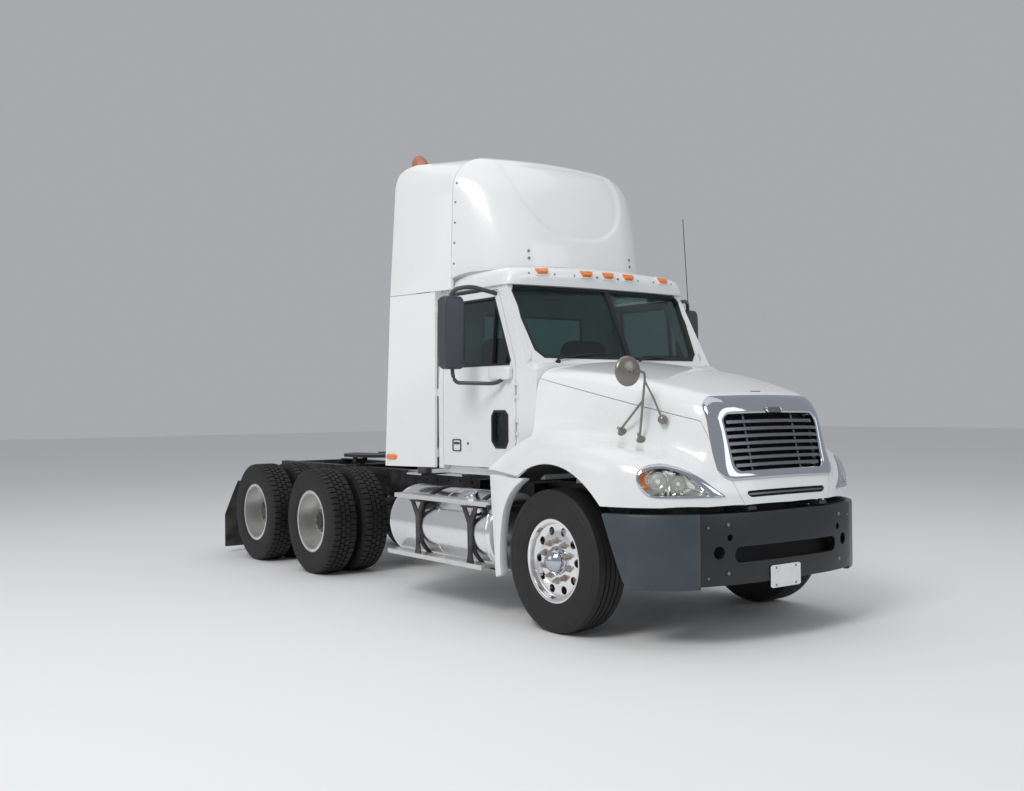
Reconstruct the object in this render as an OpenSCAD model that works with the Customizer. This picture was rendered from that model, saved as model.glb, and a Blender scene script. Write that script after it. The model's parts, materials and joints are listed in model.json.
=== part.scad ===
// Day-cab tractor unit with two drive axles, roof fairing and tilting hood.
// Millimetres, Z up, the truck faces -Y and its left side is +X.
// All modules place things from the front axle; the whole is shifted at the end.

/* [Overall] */
// Front axle to first drive axle
first_drive_y = 3733; // [3400:1:4400]
// First drive axle to second drive axle
tandem_gap = 1311; // [1250:1:1420]
// Front of the nose ahead of the front axle
front_overhang = 1180; // [1150:1:1260]
// Rear end of the frame behind the last drive axle
rear_overhang = 960; // [860:1:1100]

/* [Tyres and rims] */
// Outer radius of every tyre
tyre_radius = 510; // [480:1:540]
// Width of a steered tyre
steer_tyre_width = 286; // [260:1:300]
// Width of one drive tyre
drive_tyre_width = 276; // [250:1:290]
// Bead seat radius of every rim
bead_radius = 286; // [280:0.5:290]
// Width over the rim flanges
rim_width = 234; // [220:1:240]
// Centre of a steered wheel from the middle of the truck
steer_wheel_x = 1030; // [1000:1:1050]
// Centre of an outer drive wheel from the middle of the truck
drive_wheel_x = 1067; // [1050:1:1090]
// Distance between twin wheels
twin_gap = 340; // [320:1:350]
// Hand holes in a disc
hand_holes = 10; // [5:1:12]

/* [Frame] */
// Outer face of a frame rail from the middle
rail_x = 432; // [420:1:440]
// Top of the frame rails
rail_top = 1000; // [985:1:1020]
// Height of a frame rail
rail_height = 270; // [240:1:300]
// Front end of the rails ahead of the axle
rail_front = 960; // [900:1:1000]
// Top of the fifth wheel plate
coupling_top = 1120; // [1118:1:1160]
// Fifth wheel pivot behind the front axle
coupling_y = 4290; // [4000:1:4500]
// Radius of the kingpin that the fifth wheel takes
kingpin_radius = 25.4; // [25:0.1:45]

/* [Steering] */
// Kingpin axis from the middle
steer_pivot_x = 860; // [840:1:880]
// Radius of the steering pivots
pivot_radius = 20; // [16:0.5:26]
// Distance from the steering pivot back to the tie rod pin
tie_arm = 220; // [180:1:260]
// Radius of the wheel spindles
spindle_radius = 38; // [32:0.5:46]

/* [Hood] */
// Wall thickness of the hood and fenders
skin = 14; // [10:1:20]
// Rear edge of the hood behind the axle
hood_rear = 350; // [330:1:380]
// Lower edge of the fenders
fender_low = 932; // [920:1:950]
// Half width over the fenders
fender_x = 1175; // [1140:1:1190]
// Radius of the wheel arch
arch_radius = 686; // [660:1:720]
// Hood pivot ahead of the axle
hood_pivot_y = 1150; // [1140:1:1160]
// Hood pivot height
hood_pivot_z = 913; // [908:1:918]

/* [Cab] */
// Half width of the cab at the belt
cab_x = 1000; // [990:1:1010]
// Half width of the cab at the roof
roof_x = 938; // [900:1:960]
// Belt height
belt_z = 1830; // [1780:1:1860]
// Lower edge of the cab
cab_low = 1120; // [1100:1:1140]
// Lower edge of the roof cap
roof_z = 2560; // [2500:1:2600]
// Top of the roof cap
roof_top = 2745; // [2700:1:2800]
// Back face of the cab
cab_back_y = 1700; // [1680:1:1720]
// Thickness of cab walls and doors
wall = 60; // [45:1:70]
// Front edge of the door
door_front = 620; // [600:1:640]
// Rear edge of the door
door_rear = 1625; // [1600:1:1640]
// Glass thickness
glass = 6; // [5:0.5:8]
// Gap around moving panels
seam = 7; // [6:0.5:10]
// Radial clearance of a pin in its hole
running = 0.08; // [0.02:0.01:0.1]

/* [Fairing and extenders] */
// Lower edge of the roof fairing
fairing_low = 2752; // [2750:1:2800]
// Top of the roof fairing
fairing_top = 3740; // [3600:1:3800]
// Joint between the fairing and the extenders
fairing_rear = 1500; // [1450:1:1560]
// Rear edge of the extenders
extender_rear = 2280; // [2200:1:2340]
// Lower edge of the extenders
extender_low = 1105; // [1100:1:1200]
// Thickness of the fairing and the extenders
panel = 24; // [15:1:30]

/* [Bumper] */
// Lower edge of the bumper
bumper_low = 395; // [370:1:420]
// Upper edge of the bumper
bumper_high = 890; // [870:1:895]
// Thickness of the bumper
bumper_wall = 45; // [30:1:60]

/* [Tanks and steps] */
// Tank radius
tank_radius = 308; // [280:1:320]
// Tank axis from the middle
tank_x = 872; // [850:1:890]
// Tank axis height
tank_z = 626; // [600:1:640]
// Front end of the tanks
tank_front = 725; // [715:1:780]
// Rear end of the tanks
tank_rear = 2350; // [2200:1:2400]

/* [Hidden] */
$fn = 64;
last_drive_y = first_drive_y + tandem_gap;
truck_rear = last_drive_y + rear_overhang;
y_shift = (front_overhang - truck_rear) / 2;
rail_low = rail_top - rail_height;

function lerp(a, b, t) = a + (b - a) * t;
function clamp01(t) = max(0, min(1, t));
function unit(v) = v / norm(v);
function smax(a, b, k) = let (h = max(k - abs(a - b), 0) / k) max(a, b) + h * h * k / 4;
function smin(a, b, k) = -smax(-a, -b, k);
function bisect(f, o, d, lo, hi, n) =
  n == 0 ? (lo + hi) / 2 :
  let (m = (lo + hi) / 2)
  f(o + m * d) > 0 ? bisect(f, o, d, lo, m, n - 1) : bisect(f, o, d, m, hi, n - 1);
function cast(f, o, d) = o + d * bisect(f, o, d, 0, 2600, 22);
function grad(f, p) = unit([
  f(p + [1, 0, 0]) - f(p - [1, 0, 0]),
  f(p + [0, 1, 0]) - f(p - [0, 1, 0]),
  f(p + [0, 0, 1]) - f(p - [0, 0, 1])]);
function slerp(a, b, t) =
  let (w = acos(max(-1, min(1, a * b))))
  w < 0.01 ? a : (sin((1 - t) * w) * a + sin(t * w) * b) / sin(w);
function flip(p) = [-p[0], p[1], p[2]];

// Closed shell from a grid of outer points and the grid of inner points under it.
module shell(outer, inner) {
  r = len(outer);
  c = len(outer[0]);
  n = r * c;
  pts = concat([for (row = outer) each row], [for (row = inner) each row]);
  top = [for (i = [0:r - 2], j = [0:c - 2])
    each let (a = i * c + j, b = a + c) [[a, b + 1, a + 1], [a, b, b + 1]]];
  bottom = [for (t = top) [t[2] + n, t[1] + n, t[0] + n]];
  walls = concat(
    [for (i = [0:r - 2]) each let (a = i * c, b = a + c) [[a, b + n, b], [a, a + n, b + n]]],
    [for (i = [0:r - 2]) each let (a = i * c + c - 1, b = a + c) [[b, b + n, a], [a, b + n, a + n]]],
    [for (j = [0:c - 2]) each [[j + 1, j + n, j], [j + 1, j + 1 + n, j + n]]],
    [for (j = [0:c - 2]) each let (a = (r - 1) * c + j) [[a, a + 1 + n, a + 1], [a, a + n, a + 1 + n]]]);
  polyhedron(pts, concat(top, bottom, walls), convexity = 8);
}

module skin_shell(f, outer, t) {
  inner = [for (row = outer) [for (p = row) p - t * grad(f, p)]];
  shell(outer, inner);
}

// Hood and fender form, a smooth joining of a tapered hood and two pontoon fenders.
function seam_z(y) = lerp(1490, 1790, (y + 920) / 1175);
hood_form = function(p)
  let (
    ax = abs(p[0]), y = p[1], z = p[2], t = (y + 900) / 1150,
    side = ax - lerp(610, 960, t) + 0.12 * (z - seam_z(y)),
    crown = z - lerp(1690, 1940, t) - 22 * (1 - pow(2 * t - 1, 2)) + 30 * pow(ax / 600, 2),
    face = -(y + front_overhang - 8 - 0.232 * (z - 941) - 137 * pow(ax / 1000, 2)),
    plan = 1000 * (pow(pow(ax / fender_x, 2.6) + pow(max(0, -250 - y) / (front_overhang - 258), 2.6),
        1 / 2.6) - 1),
    top = z - 1375 + (y > 0 ? 400 : 180) * pow(y / 1000, 2),
    hood = smax(smax(side, crown, 150), face, 120),
    fender = smax(plan, top, 190))
  smin(hood, fender, 24 + 126 * clamp01((z - 1080) / 250));
function lip_z(y) =
  y > 420 ? lerp(1100, 1135, (y - 420) / 300) :
  max(fender_low, tyre_radius + sqrt(max(0, arch_radius * arch_radius - pow(y - 20, 2))));

hood_turn = -450;
hood_rear_rows = 18;
hood_nose_rows = 12;
function ray_dir(a) = [cos(a), -sin(a), 0];
// Row of four control points: lower lip, fender crease, panel seam and the middle of the hood.
function hood_controls(i) =
  i <= hood_rear_rows ?
    let (s = i / hood_rear_rows, ye = lerp(720, -522, s), y = lerp(hood_rear, hood_turn, s))
    [cast(hood_form, [0, ye, lip_z(ye)], ray_dir(0)), cast(hood_form, [0, y, 1385], ray_dir(0)),
     cast(hood_form, [0, y, seam_z(y)], ray_dir(0)), cast(hood_form, [0, y, 600], [0, 0, 1]), y] :
    let (s = (i - hood_rear_rows) / hood_nose_rows, b = s < 0.6, k = b ? s / 0.6 : (s - 0.6) / 0.4)
    [cast(hood_form, [0, hood_turn, fender_low], ray_dir(b ? lerp(3.6, 15, k) : lerp(15, 25.6, k))),
     cast(hood_form, [0, hood_turn, b ? lerp(1385, 1200, k) : lerp(1200, fender_low + 3, k)],
       ray_dir(b ? lerp(0, 36, k) : lerp(36, 41.5, k))),
     cast(hood_form, [0, hood_turn, b ? lerp(seam_z(hood_turn), 1500, k) : lerp(1500, fender_low + 6, k)],
       ray_dir(b ? lerp(0, 38, k) : lerp(38, 58.7, k))),
     let (a = b ? lerp(90, 67.5, k) : lerp(67.5, 25, k)) cast(hood_form, [0, hood_turn, 600], [0,
         -cos(a), sin(a)]),
     hood_turn];
function hood_span(o, a, b, n, last) =
  [for (j = [0:last ? n : n - 1]) cast(hood_form, o, slerp(unit(a - o), unit(b - o), j / n))];
function hood_rows() = [for (i = [0:hood_rear_rows + hood_nose_rows]) hood_controls(i)];
function fender_grid() = [for (q = hood_rows()) let (o = [0, q[4], 600])
  concat(hood_span(o, q[0], q[1], 7, false), hood_span(o, q[1], q[2], 4, true))];
function top_grid() = [for (q = hood_rows()) let (o = [0, q[4], 600], h = hood_span(o, q[2], q[3], 8, true))
  concat(h, [for (j = [len(h) - 2:-1:0]) flip(h[j])])];

module fender_skin() { skin_shell(hood_form, fender_grid(), skin); }
module hood_skin() { skin_shell(hood_form, top_grid(), skin); }

// Places a shape drawn on the leaning grille plane, its middle at the nose's lower edge.
module on_grille() {
  translate([0, -front_overhang + 8, 941]) rotate([90 - atan(0.232), 0, 0]) children();
}
module round_trapezoid(w0, w1, v0, v1, r) {
  hull() {
    for (s = [-1, 1]) {
      translate([s * (w0 - r), v0 + r]) circle(r);
      translate([s * (w1 - r), v1 - r]) circle(r);
    }
  }
}
module grille_prism(grow) {
  on_grille() translate([0, 0, -400]) linear_extrude(700)
    round_trapezoid(452 + grow, 470 + grow, 232 - grow * 0.6, 620 + grow * 0.75, 60 + grow * 0.4);
}
module slot_prism() {
  on_grille() translate([0, 0, -300]) linear_extrude(500) round_trapezoid(375, 398, 48, 92, 16);
}
// Headlamp outline, seen from ahead and outside.
lamp_turn = 40;
module lamp_outline(grow) {
  hull() {
    translate([-175, 108]) circle(70 + grow);
    translate([-40, 150]) circle(60 + grow);
    translate([-205, 70]) circle(45 + grow);
    translate([90, 100]) circle(50 + grow);
    translate([245, 66]) circle(12 + grow);
  }
}
module lamp_prism(grow) {
  translate([-820, -990, 985]) rotate([90, 0, -lamp_turn]) translate([0, 0, -250]) linear_extrude(500)
      lamp_outline(grow);
}

module hood_top() {
  color("white") difference() {
    hood_skin();
    grille_prism(70);
    slot_prism();
  }
  color("white") for (s = [-1, 1]) translate([s * 365, 0, 0]) difference() {
    union() {
      translate([-10, -hood_pivot_y, hood_pivot_z]) rotate([0, 90, 0]) cylinder(r = 15, h = 20);
      translate([-10, -hood_pivot_y - 2, hood_pivot_z]) cube([20, 30, 67]);
    }
    translate([-11, -hood_pivot_y, hood_pivot_z]) rotate([0, 90, 0]) cylinder(r = 8 + running, h = 22);
    translate([-11, -hood_pivot_y - 40, hood_pivot_z + 16]) cube([22, 42, 120]);
  }
}
module fender_right() { color("white") difference() { mirror([1, 0, 0]) fender_skin(); lamp_prism(16); } }
module fender_left() { color("white") mirror([1, 0, 0]) fender_right(); }
module grille_surround() {
  color("silver") intersection() {
    hood_skin();
    difference() { grille_prism(70); grille_prism(0); }
  }
}
module grille_bars() {
  color("dimgray") intersection() {
    on_grille() {
      for (k = [0:6]) translate([-500, 258 + k * 50, -62]) cube([1000, 26, 40]);
      for (s = [-1, 1]) translate([s * 250 - 12, 200, -74]) cube([24, 500, 14]);
    }
    grille_prism(0);
  }
  color("dimgray") intersection() { hood_skin(); slot_prism(); }
}
module headlamps() {
  color("lightgray") for (s = [0, 1]) mirror([s, 0, 0]) intersection() { mirror([1, 0, 0]) fender_skin();
      lamp_prism(0); }
}
module headlamp_bezels() {
  color("silver") for (s = [0, 1]) mirror([s, 0, 0]) intersection() {
    mirror([1, 0, 0]) fender_skin();
    difference() { lamp_prism(16); lamp_prism(0); }
  }
}

// A rod between two points.
module rod(a, b, r) {
  d = b - a;
  translate(a) rotate([0, acos(d[2] / norm(d)), atan2(d[1], d[0])]) cylinder(r = r, h = norm(d), $fn = 24);
}
// Right fender mirror: a mast with two braces and a round head.
mast_top = [-822, -620, 1800];
mirror_feet = [[-811, -370, 1640], [-781, -530, 1790]];
mirror_head = [-968, -622, 1838];
module fender_mirror() {
  dome = cast(hood_form, [0, -669, 1504], [-1, 0, 0]);
  ball = dome + 43 * grad(hood_form, dome);
  mast_foot = cast(hood_form, [mirror_feet[1][0], mirror_feet[1][1], 900], [0, 0, 1]);
  color("gray") {
    for (q = mirror_feet) {
      foot = cast(hood_form, [q[0], q[1], 900], [0, 0, 1]);
      joint = lerp(mast_foot, mast_top, (q[2] - mast_foot[2]) / (mast_top[2] - mast_foot[2]));
      n = grad(hood_form, foot);
      rod(foot + 24 * n, joint, 9);
      translate(foot + 9 * n) rotate([0, acos(n[2]), atan2(n[1], n[0])]) cylinder(r1 = 24, r2 = 14, h = 36);
    }
    rod(ball, mast_top, 9);
    translate(ball) sphere(36);
    translate(mast_top) sphere(17);
    rod(mast_top, mirror_head, 11);
    translate(mirror_head) rotate([90, 0, 20]) translate([0, 0, -22]) {
      cylinder(r = 104, h = 10);
      translate([0, 0, 9]) cylinder(r1 = 103, r2 = 30, h = 34);
    }
  }
}

// Frame.
module frame_rails() {
  color("black") for (s = [0, 1]) mirror([s, 0, 0]) translate([rail_x, -rail_front, rail_low])
      rotate([-90, 0, 0])
    linear_extrude(truck_rear + rail_front)
      polygon([[0, 0], [-89, 0], [-89, -9], [-9, -9], [-9, 9 - rail_height], [-89, 9 - rail_height],
        [-89, -rail_height], [0, -rail_height]]);
}
cross_y = [30 - rail_front, 1500, 2700, first_drive_y + tandem_gap / 2, truck_rear - 60];
module crossmembers() {
  color("black") for (y = cross_y) translate([9 - rail_x, y - 30, rail_low + 70]) cube([2 * rail_x - 18,
      60, rail_height - 79]);
}
module front_axle() {
  color("dimgray") {
    translate([-760, -45, 360]) cube([1520, 90, 110]);
    for (s = [-1, 1]) {
      translate([s * 790, 0, 470]) rotate([0, -s * 36, 0]) translate([-70, -36, -35]) cube([140, 72, 70]);
      translate([s * steer_pivot_x, 0, tyre_radius - 60]) cylinder(r = 46, h = 120);
      translate([s * steer_pivot_x, 0, tyre_radius - 125]) cylinder(r = pivot_radius, h = 250);
    }
  }
}
module front_springs() {
  color("black") for (s = [-1, 1]) translate([s * 395, 0, 0]) {
    translate([-40, -600, 500]) cube([80, 1250, 40]);
    translate([-40, -350, 470]) cube([80, 700, 30]);
    translate([-40, -640, 490]) cube([80, 60, rail_low - 490]);
    translate([-40, 630, 490]) cube([80, 50, rail_low - 490]);
  }
}
module drive_axles() {
  color("dimgray") for (y = [first_drive_y, last_drive_y]) translate([0, y, tyre_radius]) {
    rotate([0, 90, 0]) translate([0, 0, -600]) cylinder(r = 66, h = 1200);
    rotate([0, 90, 0]) translate([0, 0, -1040]) cylinder(r = spindle_radius, h = 2080);
    sphere(r = 195);
    rotate([90, 0, 0]) cylinder(r = 80, h = 330);
  }
  color("dimgray") {
    rod([0, gearbox_end + 8, gearbox_z], [0, first_drive_y - 325, tyre_radius], 52);
    rod([0, first_drive_y + 150, tyre_radius], [0, last_drive_y - 325, tyre_radius], 48);
  }
}
module rear_suspension() {
  color("black") for (y = [first_drive_y, last_drive_y], s = [-1, 1]) translate([s * 400, y, 0]) {
    translate([-35, -560, tyre_radius - 131]) cube([70, 1050, 65]);
    translate([-35, -560, tyre_radius - 131]) cube([70, 90, rail_low - tyre_radius + 131]);
    translate([0, 355, tyre_radius - 70]) cylinder(r = 118, h = rail_low - tyre_radius + 70);
  }
}
gearbox_end = 1120;
gearbox_z = 765;
module engine() {
  color("gray") {
    translate([-335, -740, 560]) cube([670, 960, 940]);
    translate([0, 219, gearbox_z]) rotate([-90, 0, 0]) cylinder(r1 = 280, r2 = 170, h = gearbox_end - 219);
    translate([-400, -895, rail_top]) cube([800, 100, 500]);
    for (s = [-1, 1]) translate([s * 379 - 44, -300, rail_low + 9]) cube([88, 120, 61]);
  }
}
module tank(r, y0, y1) {
  translate([tank_x, y0, tank_z]) rotate([-90, 0, 0]) cylinder(r = r, h = y1 - y0);
}
module fuel_tanks() {
  color("silver") for (s = [0, 1]) mirror([s, 0, 0]) {
    tank(tank_radius, tank_front + 25, tank_rear - 25);
    translate([tank_x, tank_front, tank_z]) rotate([-90, 0, 0]) cylinder(r1 = tank_radius - 40,
        r2 = tank_radius, h = 25);
    translate([tank_x, tank_rear - 25, tank_z]) rotate([-90, 0, 0]) cylinder(r1 = tank_radius,
        r2 = tank_radius - 40, h = 25);
    filler_place() cylinder(r = 48, h = 148);
  }
}
module filler_place() {
  translate([tank_x + 160, tank_front + 220, tank_z]) rotate([0, 28, 0]) translate([0, 0, 200]) children();
}
strap_y = [tank_front + 420, tank_rear - 420];
module tank_straps() {
  color("black") for (s = [0, 1], y = strap_y) mirror([s, 0, 0]) difference() {
    union() {
      tank(tank_radius + 7, y - 35, y + 35);
      translate([rail_x, y - 30, rail_low + 20]) cube([tank_x - rail_x, 60, 120]);
      translate([rail_x, y - 30, rail_low - 260]) cube([70, 60, 400]);
      translate([rail_x, y - 30, rail_low - 300]) cube([tank_x - rail_x, 60, 60]);
      translate([tank_x, y - 30, 400]) cube([325, 60, 460]);
    }
    tank(tank_radius, y - 100, y + 100);
  }
}
module tank_steps() {
  color("silver") for (s = [0, 1]) mirror([s, 0, 0]) {
    difference() {
      translate([1090, 730, 860]) cube([122, 1350, 25]);
      filler_place() cylinder(r = 56, h = 148);
    }
    translate([1092, 790, 375]) cube([122, 1425, 25]);
  }
}
bumper_sag = 137;
module bumper_plan(off, x0, x1) {
  steps = 16;
  pts = [for (k = [0:steps]) let (x = lerp(x0, x1, k / steps)) [x, bumper_y(x) + off]];
  back = [for (k = [steps:-1:0]) let (x = lerp(x0, x1, k / steps)) [x - 0.32 * off,
      bumper_y(x) + off + bumper_wall]];
  polygon(concat(pts, back));
}
function bumper_y(x) = -250 - (front_overhang - 258) * pow(max(0, 1 - pow(abs(x) / 1196, 2.9)), 1 / 2.9);
module bumper_center() {
  color("dimgray") difference() {
    translate([0, 0, bumper_low + 20]) linear_extrude(bumper_high - bumper_low - 20) bumper_plan(0, -770,
        770);
    translate([-430, -front_overhang - 60, 560]) cube([860, 200, 105]);
    for (s = [-1, 1]) translate([s * 640, -front_overhang - 40, 634]) rotate([-90, 0, 0])
        cylinder(r = 42, h = 320);
    for (s = [-1, 1]) translate([s * 558, -front_overhang - 40, 729]) rotate([-90, 0, 0])
        cylinder(r = 22, h = 320);
  }
  color("dimgray") for (s = [-1, 1]) translate([s * 388 - 44, -1126, 690]) cube([88, 1126 - rail_front,
      190]);
}
module bumper_ends() {
  color("slategray") for (s = [0, 1]) mirror([s, 0, 0]) difference() {
    translate([0, 0, bumper_low]) linear_extrude(bumper_high - bumper_low) end_plan();
    translate([600, -576, bumper_high]) rotate([-atan(0.419), 0, 0]) translate([0, 0, -1000]) cube([800,
        800, 2000]);
  }
}
module end_plan() {
  steps = 14;
  out = [for (k = [0:steps]) let (x = lerp(770, 1195, sin(90 * k / steps))) [x, bumper_y(x)]];
  ins = [for (k = [steps:-1:0]) let (x = lerp(770, 1195, sin(90 * k / steps))) [x - 42 * pow(k / steps,
      1), bumper_y(x) + bumper_wall]];
  polygon(concat(out, ins));
}
module hood_hinge_arms() {
  color("black") for (s = [-1, 1]) {
    for (x = [-35, 15]) translate([s * 365 + x, 0, 0]) {
      translate([0, -hood_pivot_y, hood_pivot_z]) rotate([0, 90, 0]) cylinder(r = 14, h = 20);
      translate([0, -hood_pivot_y, hood_pivot_z - 14]) cube([20, hood_pivot_y - rail_front, 27]);
    }
    translate([s * 365 - 35, -hood_pivot_y, hood_pivot_z]) rotate([0, 90, 0]) cylinder(r = 8, h = 70);
  }
}
module mud_flaps() {
  y = last_drive_y + 776;
  color("black") for (s = [0, 1]) mirror([s, 0, 0]) {
    translate([rail_x, y - 40, rail_low + 30]) cube([620, 40, 40]);
    translate([0, y + 12, 0]) rotate([90, 0, 0]) linear_extrude(12)
      polygon([[600, 70], [1205, 70], [1205, 430], [1120, 640], [1050, rail_low + 70], [600,
          rail_low + 70]]);
  }
}
module deck_plate() {
  color("silver") difference() {
    translate([-640, 1900, rail_top]) cube([1280, 900, 22]);
    translate([-200, 2560, rail_top - 1]) cube([400, 400, 30]);
  }
  color("black") translate([-980, 2020, rail_top + 22]) cube([420, 240, 14]);
}
module exhaust_stack() {
  color("gray") translate([-880, 2120, 0]) {
    translate([0, 0, rail_top + 36]) cylinder(r = 63, h = 3665 - rail_top - 36);
    translate([0, 0, 1250]) cylinder(r = 125, h = 1150);
    translate([0, 110, 3665]) rotate([90, 0, -90]) rotate_extrude(angle = 64) translate([110, 0])
        circle(63);
  }
}
module fender_panels() {
  color("white") for (s = [0, 1]) mirror([s, 0, 0]) {
    translate([1100, 0, 0]) rotate([90, 0, 90]) linear_extrude(70) difference() {
      polygon([[300, 1082], [470, 1082], [735, 1102], [665, 335], [560, 345], [560, 900]]);
      translate([0, tyre_radius]) circle(r = 603);
    }
    translate([rail_x, 655, 800]) cube([1100 - rail_x, 32, 50]);
    translate([1060, 655, 800]) cube([60, 32, 50]);
  }
}

// Cab.
module wall_section(t) {
  polygon([[cab_x, cab_low - 20], [cab_x, belt_z], [roof_x, roof_z], [roof_x - t, roof_z], [cab_x - t,
      belt_z],
    [cab_x - t, cab_low - 20]]);
}
module cab_wall(t) {
  translate([0, cab_back_y, 0]) rotate([90, 0, 0]) linear_extrude(cab_back_y + 300) wall_section(t);
}
module cab_section() {
  polygon([[-cab_x, cab_low - 20], [-cab_x, belt_z], [-roof_x, roof_z], [roof_x, roof_z], [cab_x, belt_z],
    [cab_x, cab_low - 20]]);
}
door_low = cab_low + 8;
door_shape = [[door_front, 1330], [door_front, 1860], [door_front + 15, 1950], [905, 2505], [935, 2525],
    [1595, 2525],
  [door_rear, 2495], [door_rear, door_low], [840, door_low], [830, 1190], [720, 1235], [650, 1290]];
window_shape = [[700, 1960], [960, 2465], [1555, 2465], [1565, 1935], [710, 1935]];
peep_shape = [[725, 1340], [755, 1290], [880, 1290], [930, 1340], [930, 1530], [900, 1570], [760, 1570],
    [725, 1540]];
module door_prism(grow) {
  rotate([90, 0, 90]) linear_extrude(1200) offset(delta = grow) polygon(door_shape);
}
module side_prism(shape) { rotate([90, 0, 90]) linear_extrude(1200) polygon(shape); }
cowl_y = hood_rear + seam;
module cab_floor() {
  color("white") translate([wall + 10 - cab_x, cowl_y, cab_low - 60]) cube([2 * (cab_x - wall - 10),
      cab_back_y - wall - cowl_y, 60]);
  color("black") for (s = [-1, 1], y = [500, 1550]) translate([s * 388 - 44, y, rail_top]) cube([88, 90,
      cab_low - 60 - rail_top]);
}
module cab_back() {
  color("white") difference() {
    union() {
      translate([0, cab_back_y, 0]) rotate([90, 0, 0]) linear_extrude(wall) cab_section();
      for (s = [0, 1]) mirror([s, 0, 0]) intersection() {
        cab_wall(wall);
        translate([0, door_rear + seam, cab_low - 60]) cube([1300, cab_back_y - door_rear - seam - 10,
            2000]);
      }
    }
    translate([-560, cab_back_y - 200, 1960]) cube([1120, 400, 440]);
  }
}
// Leaning windshield plane, one flat pane on each side of the middle.
pane_slope = 0.5;
pane_yaw = 0.119;
pane_y0 = 420;
pane_z0 = 1950;
pane_n = unit([-pane_yaw, 1, -pane_slope]);
pane_u = unit([1, pane_yaw, 0]);
pane_v = cross(pane_u, -pane_n);
function pane_at(x, z) = let (p = [x, pane_yaw * x + pane_slope * (z - pane_z0),
    z - pane_z0]) [p * pane_u, p * pane_v];
module on_pane() {
  multmatrix([
    [pane_u[0], pane_v[0], -pane_n[0], 0],
    [pane_u[1], pane_v[1], -pane_n[1], pane_y0],
    [pane_u[2], pane_v[2], -pane_n[2], pane_z0],
    [0, 0, 0, 1]]) children();
}
pane_shape = [[12, 1975], [790, 1985], [850, 2040], [905, 2500], [880, 2540], [12, 2540]];
module cab_front() {
  color("white") {
    for (s = [0, 1]) mirror([s, 0, 0]) {
      difference() {
        intersection() {
          on_pane() translate([0, 0, -40]) linear_extrude(50)
            polygon([for (q = [[0, 1925], [915, 1925], [roof_x - 5, roof_z + 30], [0, roof_z + 30]])
                pane_at(q[0], q[1])]);
          cube([985, 1000, roof_z]);
        }
        on_pane() translate([0, 0, -100]) linear_extrude(200) polygon([for (q = pane_shape) pane_at(q[0],
            q[1])]);
        door_prism(seam);
      }
      difference() {
        intersection() {
          cab_wall(wall);
          translate([0, cowl_y, cab_low]) cube([1300, 800, roof_z - cab_low]);
        }
        door_prism(seam);
        side_prism([[0, 1935], [500, 1935], [815, 2565], [815, 2800], [0, 2800]]);
        on_pane() translate([0, 0, -30]) linear_extrude(130)
          polygon([for (q = pane_shape) pane_at(q[0], q[1])]);
        side_prism([[0, 1330], [430, 1305], [700, 1130], [780, 1000], [0, 1000]]);
        translate([930, 520, 1880]) rotate([0, 0, -25]) translate([0, -400, 0]) cube([300, 400, 900]);
      }
      door_hinge_pins();
    }
    translate([0, cowl_y + 40, 0]) rotate([90, 0, 0]) linear_extrude(40)
      polygon([[wall - cab_x, cab_low], [cab_x - wall, cab_low], [cab_x - wall, 1790], [800, 1892],
          [-800, 1892],
        [wall - cab_x, 1790]]);
    translate([0, 0, 1890]) linear_extrude(40)
      polygon([[-800, cowl_y], [800, cowl_y], [925, cowl_y + 180], [-925, cowl_y + 180]]);
  }
}
hinge_x = cab_x + 16;
hinge_y = door_front - 3;
hinge_z = [1420, 1700];
module door_hinge_pins() {
  for (z = hinge_z) {
    translate([hinge_x, hinge_y, z - 34]) cylinder(r = 6, h = 128);
    for (dz = [-34, 64]) {
      translate([hinge_x, hinge_y, z + dz]) cylinder(r = 13, h = 30);
      translate([cab_x - 6, hinge_y - 34, z + dz]) cube([16, 34, 30]);
    }
  }
}
module door_hinge_barrels() {
  for (z = hinge_z) difference() {
    union() {
      translate([hinge_x, hinge_y, z]) cylinder(r = 13, h = 60);
      translate([cab_x - 6, hinge_y + 4, z]) cube([16, 34, 60]);
    }
    translate([hinge_x, hinge_y, z - 1]) cylinder(r = 6 + running, h = 62);
  }
}
// Roof cap with the visor lip.
roof_form = function(p)
  let (
    ax = abs(p[0]), y = p[1], z = p[2],
    front = 690 + 75 * pow(ax / 1000, 2) - y - 0.15 * (z - 2600),
    side = ax - 962 + 0.18 * (z - roof_z),
    top = z - roof_top + 40 * pow(ax / 900, 2) + 60 * pow(max(0, 1000 - y) / 400, 2))
  smax(smax(side, top, 110), front, 90);
roof_turn = 1000;
function roof_row(i) =
  let (
    low = roof_z + 2,
    o = i <= 6 ? [0, lerp(cab_back_y + 12, roof_turn, i / 6), 2480] : [0, roof_turn, 2480],
    k = max(0, i - 6) / 8,
    e = cast(roof_form, [0, o[1], low], ray_dir(28 * k)),
    a = lerp(90, atan2(low - 2480, 305), k),
    m = cast(roof_form, [0, o[1], 2480], [0, -cos(a), sin(a)]),
    h = [for (j = [0:10]) cast(roof_form, o, slerp(unit(e - o), unit(m - o), j / 10))])
  concat(h, [for (j = [9:-1:0]) flip(h[j])]);
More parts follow.
